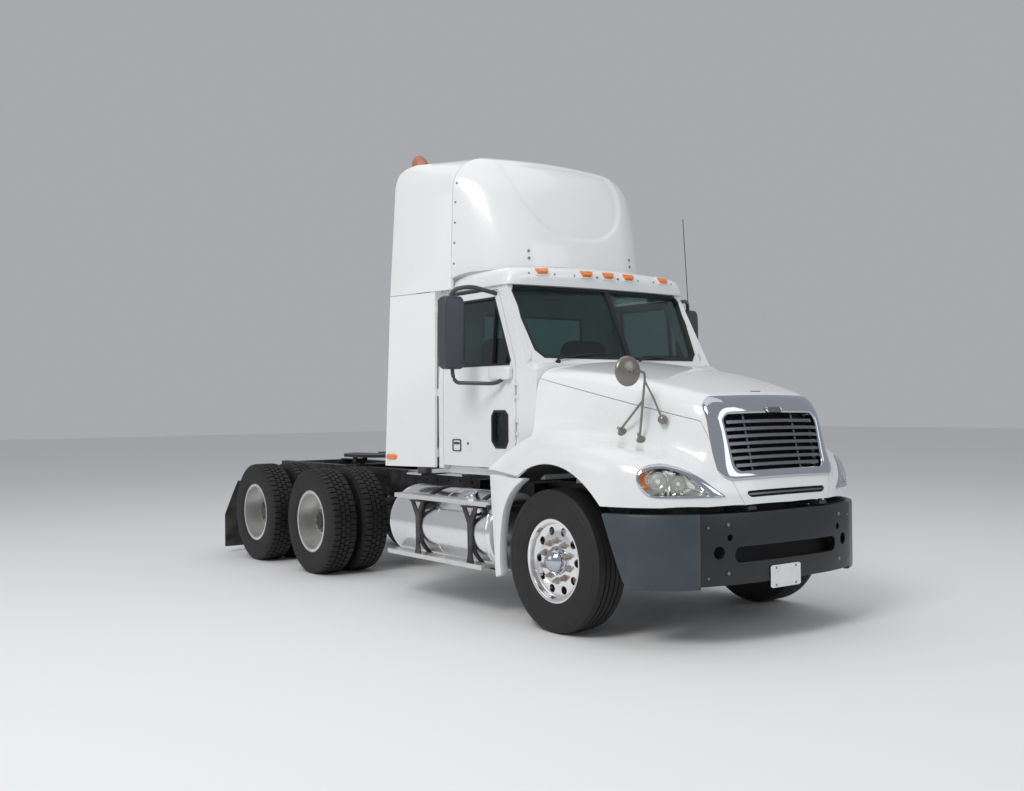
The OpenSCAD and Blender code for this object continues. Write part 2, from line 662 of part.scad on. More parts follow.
// The headliner slab carries the cap on the cab's walls.
headliner = [[0, 705], [600, 735], [945, 800], [945, cab_back_y + 6], [-945, cab_back_y + 6], [-945,
    800], [-600, 735]];
module cab_roof() {
  color("white") {
    difference() {
      skin_shell(roof_form, [for (i = [0:14]) roof_row(i)], panel);
      translate([-1200, 0, roof_z - 100]) cube([2400, 3000, 100]);
    }
    translate([0, 0, roof_z]) linear_extrude(26) polygon(headliner);
  }
}
lamp_x = [-654, -226, 0, 226, 654];
module marker_lamps() {
  color("orange") difference() {
    marker_blocks();
    cab_roof();
    side_extenders();
  }
}
module marker_blocks() {
  union() {
    for (x = lamp_x) {
      p = cast(roof_form, [x, 1000, 2668], [0, -1, 0]);
      translate(p + [-42, -12, -20]) cube([84, 16, 40]);
    }
    for (s = [-1, 1]) translate([s * 1180 - 22, 2150, 1165]) cube([44, 90, 36]);
  }
}
module cab_glass() {
  color("lightblue") {
    for (s = [0, 1]) mirror([s, 0, 0]) on_pane() translate([0, 0, -14]) linear_extrude(glass)
      polygon([for (q = pane_shape) pane_at(q[0], q[1])]);
    translate([-560, cab_back_y - 40, 1960]) cube([1120, glass, 440]);
  }
}
module dashboard() {
  color("dimgray") {
    translate([75 - cab_x, cowl_y + 40, 1480]) cube([2 * (cab_x - 75), 245, 360]);
    rod([430, 600, 1560], [430, 800, 1720], 30);
    translate([430, 820, 1736]) rotate([-51, 0, 0]) rotate_extrude() translate([215, 0]) circle(16,
        $fn = 24);
    translate([430, 800, 1720]) rotate([-51, 0, 0]) {
      cylinder(r = 60, h = 30);
      for (a = [0, 120, 240]) rotate(a + 30) translate([0, -14, 10]) cube([205, 28, 12]);
    }
  }
}
module seats() {
  color("dimgray") for (x = [-430, 430]) translate([x, 0, 0]) {
    translate([-180, 1150, cab_low]) cube([360, 330, 300]);
    translate([-250, 1050, cab_low + 300]) cube([500, 500, 130]);
    translate([-250, 1450, cab_low + 430]) cube([500, 120, 640]);
  }
}

// Fairing and extenders.
fairing_form = function(p)
  let (
    ax = abs(p[0]), y = p[1], z = p[2], t = (z - fairing_low) / (fairing_top - fairing_low),
    front = 965 + 330 * pow(max(0, t), 1.7) + 120 * pow(ax / 1000, 2) - y,
    side = 0.95 * (ax - 720 - 0.55 * (y - 1000) + 40 * t),
    top = z - fairing_top + 30 * pow(ax / 900, 2) + 25 * pow((fairing_rear - y) / 400, 2))
  smax(smax(side, top, 300), front, 300);
fairing_turn = 1330;
function fairing_row(i) =
  let (
    o = [0, i <= 4 ? lerp(fairing_rear, fairing_turn, i / 4) : fairing_turn, 2600],
    k = max(0, i - 4) / 10,
    e = cast(fairing_form, [0, o[1], fairing_low], ray_dir(40 * k)),
    a = lerp(90, atan2(fairing_low - 2600, 365), k),
    m = cast(fairing_form, [0, o[1], 2600], [0, -cos(a), sin(a)]),
    h = [for (j = [0:12]) cast(fairing_form, o, slerp(unit(e - o), unit(m - o), j / 12))])
  concat(h, [for (j = [11:-1:0]) flip(h[j])]);
module roof_fairing() {
  color("white") {
    skin_shell(fairing_form, [for (i = [0:14]) fairing_row(i)], panel);
    for (q = [[1150, 735], [1440, 942]]) {
      translate([-q[1], q[0], roof_top + 45]) cube([2 * q[1], 30, 30]);
      difference() {
        for (s = [-1, 1]) translate([s * 500 - 20, q[0], roof_top - 28]) cube([40, 30, 90]);
        cab_roof();
      }
    }
  }
}
extender_front = fairing_rear + 18;
extender_x0 = 990;
extender_x1 = 1195;
function extender_x(y) = lerp(extender_x0, extender_x1,
    (y - extender_front) / (extender_rear - extender_front));
extender_mid = 2580;
extender_high = fairing_top - 25;
// Upper part, ruled from the fairing's rear profile to the leaning rear edge.
function extender_front_x(z) =
  z < fairing_low ? extender_x0 : min(extender_x0, cast(fairing_form, [0, fairing_rear, z], [1, 0, 0])[0]);
function extender_row(k) =
  let (
    t = k / 10,
    zf = lerp(extender_mid, fairing_top - 50, t),
    front = [extender_front_x(zf), extender_front, zf],
    rear = [extender_x1 - 90 * t * t, extender_rear, lerp(extender_mid, extender_high, t)])
  [for (j = [0:6]) lerp(front, rear, j / 6)];
extender_corner = [[1950, 0], [2080, -8], [2170, -28], [2235, -68], [2268, -125], [2285, -200], [2400,
    -200], [2400, 300],
  [1950, 300]];
module side_extenders() {
  low_y = cab_back_y + 8;
  rows = [for (k = [0:10]) extender_row(k)];
  color("white") for (s = [0, 1]) mirror([s, 0, 0]) {
    translate([0, 0, extender_low]) linear_extrude(extender_mid - extender_low)
      polygon([[extender_x(low_y), low_y], [extender_x1, extender_rear], [extender_x1 - panel,
          extender_rear],
        [extender_x(low_y) - panel, low_y]]);
    difference() {
      shell(rows, [for (row = rows) [for (q = row) q - [panel, 0, 0]]]);
      side_prism([for (q = extender_corner) q + [0, extender_high]]);
    }
    for (z = [1700, 2400]) translate([900, cab_back_y, z]) cube([extender_x(cab_back_y + 30) - 910, 60,
        60]);
  }
}

// Coupling.
coupling_pin_z = rail_top + 52;
module fifth_wheel_base() {
  color("black") {
    translate([-430, coupling_y - 130, rail_top]) cube([860, 260, 14]);
    for (s = [-1, 1]) difference() {
      translate([s * 330 - 30, coupling_y - 45, rail_top + 13]) cube([60, 90, 62]);
      translate([s * 330 - 40, coupling_y, coupling_pin_z]) rotate([0, 90, 0]) cylinder(r = 17 + running,
          h = 80);
    }
  }
}
module fifth_wheel_plate() {
  plate_low = coupling_top - 30;
  color("black") difference() {
    union() {
      translate([0, coupling_y, plate_low]) linear_extrude(30) difference() {
        intersection() { circle(r = 460); square([860, 940], center = true); }
        polygon([[-kingpin_radius - 2, 0], [kingpin_radius + 2, 0], [150, 480], [-150, 480]]);
      }
      for (s = [-1, 1]) {
        translate([s * 330 - 72, coupling_y, coupling_pin_z]) rotate([0, 90, 0]) cylinder(r = 17, h = 144);
        for (x = [-72, 44]) translate([s * 330 + x, coupling_y - 30, rail_top + 34]) cube([28, 60,
            plate_low - rail_top - 33]);
      }
    }
    translate([0, coupling_y, plate_low - 1]) cylinder(r = kingpin_radius + 0.6, h = 40);
  }
}

// Doors and mirrors.
module door_right() { mirror([1, 0, 0]) door_left(); }
module door_left() {
  color("white") {
    difference() {
      intersection() { cab_wall(wall); side_prism(door_shape); }
      side_prism(window_shape);
      side_prism(peep_shape);
    }
    door_hinge_barrels();
  }
}
module door_glass_right() { mirror([1, 0, 0]) door_glass_left(); }
module door_glass_left() {
  color("lightblue") {
    for (q = [window_shape, peep_shape]) intersection() {
      difference() { cab_wall(30); cab_wall(30 - glass); }
      side_prism(q);
    }
  }
}
module mirror_right() { mirror([1, 0, 0]) mirror_unit(); }
module mirror_left() {
  mirror_unit();
  color("black") rod([1250, 1000, 2450], [1250, 1060, 3300], 5);
}
module round_plan(w, d, r) {
  translate([r, 0]) square([w - 2 * r, d]);
  translate([0, r]) square([w, d - 2 * r]);
  for (x = [r, w - r], y = [r, d - r]) translate([x, y]) circle(r);
}
module mirror_unit() {
  color("dimgray") difference() {
    union() {
      translate([1192, 1000, 1900]) linear_extrude(570) round_plan(194, 125, 55);
      rod([1290, 1050, 2460], [1290, 1050, 2500], 14);
      rod([1290, 1050, 2495], [1180, 960, 2540], 14);
      rod([1180, 960, 2540], [920, 935, 2490], 14);
      rod([1290, 1050, 1910], [1290, 1050, 1800], 14);
      rod([1290, 1050, 1804], [980, 740, 1790], 14);
      translate([cab_x - 20, 660, 1765]) cube([58, 170, 110]);
      for (z = [1804, 2495]) translate([1290, 1050, z]) sphere(19);
      translate([1180, 960, 2540]) sphere(19);
    }
    translate([0, cab_back_y, 0]) rotate([90, 0, 0]) linear_extrude(cab_back_y) cab_section();
  }
}

// Steering and wheels.
module knuckle_left() {
  z0 = tyre_radius;
  color("dimgray") {
    difference() {
      union() {
        for (z = [z0 - 120, z0 + 80]) {
          translate([steer_pivot_x, 0, z]) cylinder(r = 48, h = 40);
          translate([steer_pivot_x, -48, z]) cube([100, 96, 40]);
        }
        translate([steer_pivot_x + 56, -60, z0 - 120]) cube([44, 120, 240]);
        translate([steer_pivot_x - 20, 20, z0 - 120]) cube([40, tie_arm - 20, 26]);
        translate([steer_pivot_x, tie_arm, z0 - 120]) cylinder(r = 26, h = 26);
      }
      translate([steer_pivot_x, 0, z0 - 130]) cylinder(r = pivot_radius + running, h = 260);
    }
    translate([steer_pivot_x, tie_arm, z0 - 152]) cylinder(r = 12, h = 45);
    translate([steer_pivot_x + 90, 0, z0]) rotate([0, 90, 0]) cylinder(r = spindle_radius, h = 190);
  }
}
module knuckle_right() { mirror([1, 0, 0]) knuckle_left(); }
module tie_rod() {
  z = tyre_radius - 151;
  x = steer_pivot_x;
  color("dimgray") difference() {
    union() {
      for (s = [-1, 1]) translate([s * x, tie_arm, z]) cylinder(r = 28, h = 26);
      rod([-x, tie_arm, z + 13], [x, tie_arm, z + 13], 12);
    }
    for (s = [-1, 1]) translate([s * x, tie_arm, z - 5]) cylinder(r = 12 + running, h = 50);
  }
}
function tyre_profile(w) = [
  [bead_radius + 0.3, -rim_width / 2 + 13], [bead_radius + 13.3, -rim_width / 2 + 11],
  [bead_radius + 13.3, -w / 2 + 18], [bead_radius + 24, -w / 2 + 10], [390, -w / 2], [430, -w / 2 + 1],
  [480, -w / 2 + 10], [tyre_radius - 6, -w / 2 + 24], [tyre_radius, -w / 2 + 44],
  [tyre_radius, w / 2 - 44], [tyre_radius - 6, w / 2 - 24], [480, w / 2 - 10], [430, w / 2 - 1], [390,
      w / 2],
  [bead_radius + 24, w / 2 - 10], [bead_radius + 13.3, w / 2 - 18], [bead_radius + 13.3,
      rim_width / 2 - 11],
  [bead_radius + 0.3, rim_width / 2 - 13]];
module tyre(x, w) {
  translate([x, 0, tyre_radius]) rotate([0, 90, 0]) rotate_extrude($fn = 96) polygon(tyre_profile(w));
}
// Rim barrel with a pierced disc; disc is where the disc's outer face lies from the rim's middle.
module rim(x, disc) {
  h = rim_width / 2;
  translate([x, 0, tyre_radius]) rotate([0, 90, 0]) difference() {
    union() {
      rotate_extrude($fn = 96) polygon([[bead_radius - 16, -h], [bead_radius + 13, -h],
          [bead_radius + 13, -h + 10],
        [bead_radius, -h + 12], [bead_radius, h - 12], [bead_radius + 13, h - 10], [bead_radius + 13, h],
            [bead_radius - 16, h]]);
      translate([0, 0, disc - 24]) cylinder(r = disc < -h ? bead_radius - 28 : bead_radius - 10, h = 24,
          $fn = 96);
      if (disc < -h) rotate_extrude($fn = 96) polygon([[bead_radius - 18, -h + 30], [bead_radius - 8,
          -h + 4],
        [bead_radius - 24, disc - 20], [bead_radius - 46, disc - 20], [bead_radius - 46, disc - 2]]);
    }
    translate([0, 0, disc - 30]) cylinder(r = 90, h = 60);
    for (a = [0:hand_holes - 1]) rotate(a * 360 / hand_holes) translate([215, 0, disc - 30])
        cylinder(r = 30, h = 40);
  }
}
module hub(x0, x1, flange, bore, depth) {
  translate([0, 0, tyre_radius]) rotate([0, 90, 0]) difference() {
    union() {
      translate([0, 0, x0]) cylinder(r = 100, h = x1 - x0);
      translate([0, 0, flange - 46]) cylinder(r = 168, h = 30);
    }
    translate([0, 0, x0 - 1]) cylinder(r = bore, h = depth);
  }
}
module steer_tyre_left() { color("black") tyre(steer_wheel_x, steer_tyre_width); }
module steer_tyre_right() { mirror([1, 0, 0]) steer_tyre_left(); }
module steer_rim_left() {
  color("silver") {
    rim(steer_wheel_x, 75);
    hub(steer_wheel_x - 60, steer_wheel_x + 165, steer_wheel_x + 75, spindle_radius + running, 181);
  }
}
module steer_rim_right() { mirror([1, 0, 0]) steer_rim_left(); }
module drive_tyres() {
  color("black") for (x = [drive_wheel_x, drive_wheel_x - twin_gap]) tyre(x, drive_tyre_width);
}
module drive_rims() {
  mid = drive_wheel_x - twin_gap / 2;
  color("silver") {
    rim(drive_wheel_x, 22 - twin_gap / 2);
    mirror([1, 0, 0]) rim(twin_gap - drive_wheel_x, 22 - twin_gap / 2);
    hub(mid - 250, mid + 190, mid - 22 + 22, spindle_radius + running, 395);
  }
}
module drive_tyres_1_left() { translate([0, first_drive_y, 0]) drive_tyres(); }
module drive_tyres_1_right() { mirror([1, 0, 0]) drive_tyres_1_left(); }
module drive_tyres_2_left() { translate([0, last_drive_y, 0]) drive_tyres(); }
module drive_tyres_2_right() { mirror([1, 0, 0]) drive_tyres_2_left(); }
module drive_rims_1_left() { translate([0, first_drive_y, 0]) drive_rims(); }
module drive_rims_1_right() { mirror([1, 0, 0]) drive_rims_1_left(); }
module drive_rims_2_left() { translate([0, last_drive_y, 0]) drive_rims(); }
module drive_rims_2_right() { mirror([1, 0, 0]) drive_rims_2_left(); }

module placed() { translate([0, y_shift, 0]) children(); }
placed() frame_rails();
placed() crossmembers();
placed() front_axle();
placed() front_springs();
placed() drive_axles();
placed() rear_suspension();
placed() engine();
placed() fuel_tanks();
placed() tank_straps();
placed() tank_steps();
placed() bumper_center();
placed() bumper_ends();
placed() hood_hinge_arms();
placed() mud_flaps();
placed() deck_plate();
placed() exhaust_stack();
placed() fender_panels();
placed() cab_floor();
placed() cab_back();
placed() cab_front();
placed() cab_roof();
placed() cab_glass();
placed() dashboard();
placed() seats();
placed() roof_fairing();
placed() side_extenders();
placed() marker_lamps();
placed() fifth_wheel_base();
placed() fifth_wheel_plate();
placed() hood_top();
placed() fender_right();
placed() fender_left();
placed() grille_surround();
placed() grille_bars();
placed() headlamps();
placed() headlamp_bezels();
placed() fender_mirror();
placed() door_right();
placed() door_left();
placed() door_glass_right();
placed() door_glass_left();
placed() mirror_right();
placed() mirror_left();
placed() knuckle_right();
placed() knuckle_left();
placed() tie_rod();
placed() steer_tyre_right();
placed() steer_tyre_left();
placed() steer_rim_right();
placed() steer_rim_left();
placed() drive_tyres_1_right();
placed() drive_tyres_1_left();
placed() drive_tyres_2_right();
placed() drive_tyres_2_left();
placed() drive_rims_1_right();
placed() drive_rims_1_left();
placed() drive_rims_2_right();
placed() drive_rims_2_left();
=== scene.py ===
import json
import math

import bmesh
import bpy
import numpy as np
from mathutils import Matrix, Vector


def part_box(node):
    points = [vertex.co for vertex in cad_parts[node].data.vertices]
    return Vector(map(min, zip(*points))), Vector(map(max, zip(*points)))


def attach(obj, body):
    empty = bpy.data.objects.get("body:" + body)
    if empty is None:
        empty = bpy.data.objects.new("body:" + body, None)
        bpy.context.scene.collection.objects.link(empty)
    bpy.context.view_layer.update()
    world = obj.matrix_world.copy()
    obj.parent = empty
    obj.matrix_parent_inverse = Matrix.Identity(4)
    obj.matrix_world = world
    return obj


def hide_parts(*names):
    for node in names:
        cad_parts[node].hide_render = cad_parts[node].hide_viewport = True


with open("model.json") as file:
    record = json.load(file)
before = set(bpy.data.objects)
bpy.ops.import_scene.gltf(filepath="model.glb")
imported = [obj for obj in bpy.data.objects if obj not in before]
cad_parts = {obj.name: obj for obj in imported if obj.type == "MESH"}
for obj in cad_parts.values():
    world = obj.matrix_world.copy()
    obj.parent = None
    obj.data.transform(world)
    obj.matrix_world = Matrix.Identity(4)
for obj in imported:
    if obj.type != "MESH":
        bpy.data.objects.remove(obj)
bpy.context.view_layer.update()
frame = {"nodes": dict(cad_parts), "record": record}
NODES = frame["nodes"]
lo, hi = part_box("steer_tyre_right")
Y0 = (lo[1] + hi[1]) / 2 * 1000   # the front axle, in mm; all shapes below are in mm from it
TYRE_R = (hi[2] - lo[2]) / 2 * 1000
lo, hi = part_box("drive_tyres_1_left")
DRIVE_Y = [(lo[1] + hi[1]) / 2 * 1000 - Y0]
lo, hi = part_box("drive_tyres_2_left")
DRIVE_Y.append((lo[1] + hi[1]) / 2 * 1000 - Y0)


# Materials.
def group_wear():
    """Blotches that fade with height: a mask for dust and stains."""
    g = bpy.data.node_groups.new("wear", "ShaderNodeTree")
    for name, value in (("Scale", 3.0), ("Low", 0.45), ("High", 0.75), ("Fade height", 2.0)):
        g.interface.new_socket(name, in_out="INPUT", socket_type="NodeSocketFloat").default_value = value
    g.interface.new_socket("Mask", in_out="OUTPUT", socket_type="NodeSocketFloat")
    n, link = g.nodes, g.links.new
    given, result = n.new("NodeGroupInput"), n.new("NodeGroupOutput")
    coords = n.new("ShaderNodeTexCoord")
    noise = n.new("ShaderNodeTexNoise")
    noise.inputs["Detail"].default_value = 6
    link(coords.outputs["Object"], noise.inputs["Vector"])
    link(given.outputs["Scale"], noise.inputs["Scale"])
    ramp = n.new("ShaderNodeMapRange")
    link(noise.outputs["Fac"], ramp.inputs["Value"])
    link(given.outputs["Low"], ramp.inputs["From Min"])
    link(given.outputs["High"], ramp.inputs["From Max"])
    axes = n.new("ShaderNodeSeparateXYZ")
    link(coords.outputs["Object"], axes.inputs[0])
    fade = n.new("ShaderNodeMapRange")
    link(axes.outputs["Z"], fade.inputs["Value"])
    link(given.outputs["Fade height"], fade.inputs["From Max"])
    fade.inputs["To Min"].default_value = 1.0
    fade.inputs["To Max"].default_value = 0.12
    times = n.new("ShaderNodeMath")
    times.operation = "MULTIPLY"
    link(ramp.outputs["Result"], times.inputs[0])
    link(fade.outputs["Result"], times.inputs[1])
    link(times.outputs[0], result.inputs["Mask"])
    return g


def group_grain():
    """Fine bumps for cast, moulded and rolled faces."""
    g = bpy.data.node_groups.new("grain", "ShaderNodeTree")
    for name, value in (("Scale", 400.0), ("Strength", 0.1)):
        g.interface.new_socket(name, in_out="INPUT", socket_type="NodeSocketFloat").default_value = value
    g.interface.new_socket("Normal", in_out="OUTPUT", socket_type="NodeSocketVector")
    n, link = g.nodes, g.links.new
    given, result = n.new("NodeGroupInput"), n.new("NodeGroupOutput")
    coords = n.new("ShaderNodeTexCoord")
    noise = n.new("ShaderNodeTexNoise")
    link(coords.outputs["Object"], noise.inputs["Vector"])
    link(given.outputs["Scale"], noise.inputs["Scale"])
    bump = n.new("ShaderNodeBump")
    bump.inputs["Distance"].default_value = 0.002
    link(noise.outputs["Fac"], bump.inputs["Height"])
    link(given.outputs["Strength"], bump.inputs["Strength"])
    link(bump.outputs["Normal"], result.inputs["Normal"])
    return g


WEAR, GRAIN = group_wear(), group_grain()
MATS = {}


def material(name, color, rough, metal=0.0, coat=0.0, dirt=None, amount=0.0,
             wear=(3, 0.45, 0.75, 2.0), grain=None):
    """A face of one colour: dirt blotches it in the form that wear gives, grain makes it bumpy."""
    m = bpy.data.materials.new(name)
    m.use_nodes = True
    n, link = m.node_tree.nodes, m.node_tree.links.new
    p = n["Principled BSDF"]
    p.inputs["Base Color"].default_value = (*color, 1)
    p.inputs["Roughness"].default_value = rough
    p.inputs["Metallic"].default_value = metal
    p.inputs["Coat Weight"].default_value = coat
    p.inputs["Coat Roughness"].default_value = 0.06
    if dirt:
        w = n.new("ShaderNodeGroup")
        w.node_tree = WEAR
        for key, value in zip(("Scale", "Low", "High", "Fade height"), wear):
            w.inputs[key].default_value = value
        k = n.new("ShaderNodeMath")
        k.operation = "MULTIPLY"
        k.inputs[1].default_value = amount
        link(w.outputs["Mask"], k.inputs[0])
        blend = n.new("ShaderNodeMix")
        blend.data_type = "RGBA"
        blend.inputs["A"].default_value = (*color, 1)
        blend.inputs["B"].default_value = (*dirt, 1)
        link(k.outputs[0], blend.inputs["Factor"])
        link(blend.outputs["Result"], p.inputs["Base Color"])
        r = n.new("ShaderNodeMapRange")
        r.inputs["To Min"].default_value = rough
        r.inputs["To Max"].default_value = min(1.0, rough + 0.35)
        link(k.outputs[0], r.inputs["Value"])
        link(r.outputs["Result"], p.inputs["Roughness"])
    if grain:
        b = n.new("ShaderNodeGroup")
        b.node_tree = GRAIN
        b.inputs["Scale"].default_value, b.inputs["Strength"].default_value = grain
        link(b.outputs["Normal"], p.inputs["Normal"])
    MATS[name] = m


def glass(name, tint, rough, edge):
    """Thin tinted pane: a clear filter with a mirror film over it."""
    m = bpy.data.materials.new(name)
    m.use_nodes = True
    n, link = m.node_tree.nodes, m.node_tree.links.new
    n.remove(n["Principled BSDF"])
    clear, film = n.new("ShaderNodeBsdfTransparent"), n.new("ShaderNodeBsdfGlossy")
    clear.inputs["Color"].default_value = (*tint, 1)
    film.inputs["Roughness"].default_value = rough
    face, power = n.new("ShaderNodeLayerWeight"), n.new("ShaderNodeMath")
    scale = n.new("ShaderNodeMapRange")
    face.inputs["Blend"].default_value = 0.5
    power.operation = "POWER"
    power.inputs[1].default_value = edge
    link(face.outputs["Facing"], power.inputs[0])
    link(power.outputs[0], scale.inputs["Value"])
    scale.inputs["To Min"].default_value = 0.05
    scale.inputs["To Max"].default_value = 0.95
    layers = n.new("ShaderNodeMixShader")
    link(scale.outputs["Result"], layers.inputs[0])
    link(clear.outputs[0], layers.inputs[1])
    link(film.outputs[0], layers.inputs[2])
    link(layers.outputs[0], n["Material Output"].inputs["Surface"])
    MATS[name] = m


DUST = (0.36, 0.33, 0.29)
material("white_paint", (0.80, 0.815, 0.82), 0.24, coat=0.6,
         dirt=(0.52, 0.51, 0.49), amount=0.35, wear=(2.2, 0.5, 0.8, 2.6))
material("frame_paint", (0.016, 0.016, 0.018), 0.45,
         dirt=DUST, amount=0.35, wear=(7, 0.45, 0.8, 1.6), grain=(220, 0.15))
material("cast_parts", (0.03, 0.03, 0.033), 0.6,
         dirt=DUST, amount=0.3, wear=(9, 0.4, 0.8, 1.6), grain=(300, 0.4))
material("polished_aluminium", (0.88, 0.88, 0.885), 0.18, metal=1.0,
         dirt=(0.55, 0.53, 0.5), amount=0.3, wear=(14, 0.5, 0.85, 1.4))
material("bumper_grey", (0.039, 0.053, 0.064), 0.36,
         dirt=(0.12, 0.135, 0.145), amount=0.4, wear=(4, 0.45, 0.8, 1.2))
material("bumper_dark", (0.009, 0.0105, 0.0135), 0.42,
         dirt=(0.05, 0.05, 0.052), amount=0.3, wear=(5, 0.45, 0.8, 1.2), grain=(500, 0.12))
material("chrome", (0.53, 0.56, 0.61), 0.06, metal=1.0,
         dirt=(0.5, 0.5, 0.5), amount=0.2, wear=(12, 0.5, 0.85, 2.0))
material("amber_lens", (0.85, 0.22, 0.03), 0.18, coat=0.7, dirt=(0.5, 0.3, 0.15), amount=0.15)
material("black_rubber", (0.018, 0.018, 0.019), 0.7,
         dirt=DUST, amount=0.3, wear=(5, 0.4, 0.8, 1.2), grain=(260, 0.2))
material("tyre", (0.0075, 0.0075, 0.008), 0.62,
         dirt=(0.06, 0.056, 0.052), amount=0.3, wear=(6, 0.35, 0.8, 1.2), grain=(420, 0.2))
material("stack_steel", (0.16, 0.155, 0.15), 0.4, metal=0.8,
         dirt=(0.12, 0.07, 0.05), amount=0.6, wear=(9, 0.4, 0.75, 8.0))
material("rust", (0.5, 0.24, 0.15), 0.6, metal=0.3,
         dirt=(0.3, 0.1, 0.05), amount=0.8, wear=(14, 0.4, 0.7, 9.0), grain=(300, 0.3))
material("mirror_plastic", (0.045, 0.052, 0.064), 0.38,
         dirt=(0.15, 0.15, 0.15), amount=0.25, grain=(500, 0.1))
material("mirror_metal", (0.24, 0.23, 0.21), 0.32, metal=0.75,
         dirt=(0.3, 0.2, 0.12), amount=0.5, wear=(18, 0.45, 0.8, 4.0))
material("dash_plastic", (0.085, 0.088, 0.092), 0.7, grain=(600, 0.3))
material("seat_cloth", (0.1, 0.11, 0.125), 0.9,
         dirt=(0.09, 0.09, 0.1), amount=0.5, wear=(60, 0.4, 0.6, 9), grain=(900, 0.6))
material("brushed_aluminium", (0.8, 0.8, 0.79), 0.36, metal=0.9,
         dirt=(0.42, 0.4, 0.37), amount=0.4, wear=(10, 0.5, 0.85, 1.4))
material("gasket", (0.012, 0.012, 0.013), 0.6, grain=(400, 0.1))
# Near-black for the backs of openings: painted shade behind the grille, in the slot below it and behind the
# bumper's opening.
material("screen", (0.008, 0.008, 0.009), 0.8, grain=(300, 0.3))
material("louvre", (0.2, 0.215, 0.24), 0.24, metal=0.9,
         dirt=(0.1, 0.1, 0.1), amount=0.3, wear=(9, 0.45, 0.8, 2.5))
material("reflector", (0.82, 0.82, 0.8), 0.14, metal=1.0, grain=(60, 0.05))
material("plate_white", (0.78, 0.79, 0.8), 0.4, dirt=DUST, amount=0.25, wear=(20, 0.45, 0.8, 1.4))
material("rusty_nut", (0.5, 0.47, 0.44), 0.35, metal=0.9,
         dirt=(0.3, 0.17, 0.1), amount=0.7, wear=(7, 0.5, 0.62, 3))
material("mirror_face", (0.85, 0.87, 0.88), 0.03, metal=1.0, grain=(3, 0.01))
material("bulb_white", (0.85, 0.86, 0.85), 0.3, coat=0.5, grain=(40, 0.05))
glass("clear_glass", (0.45, 0.57, 0.56), 0.02, 4.0)
glass("lamp_lens", (0.93, 0.94, 0.93), 0.03, 4.0)
CAD_SLOT = {p["node"]: p["material_slot"] for p in frame["record"]["subparts"]}
for node, obj in NODES.items():
    look = MATS[CAD_SLOT[node]]
    if obj.material_slots:
        for s in obj.material_slots:
            s.material = look
    else:
        obj.data.materials.append(look)

# Mesh helpers.
ACROSS, UP = np.array([1.0, 0, 0]), np.array([0, 0, 1.0])
AHEAD, BACK = np.array([0, -1.0, 0]), np.array([0, 1.0, 0])
MIRROR = np.array([-1, 1, 1])   # to the other side of the truck


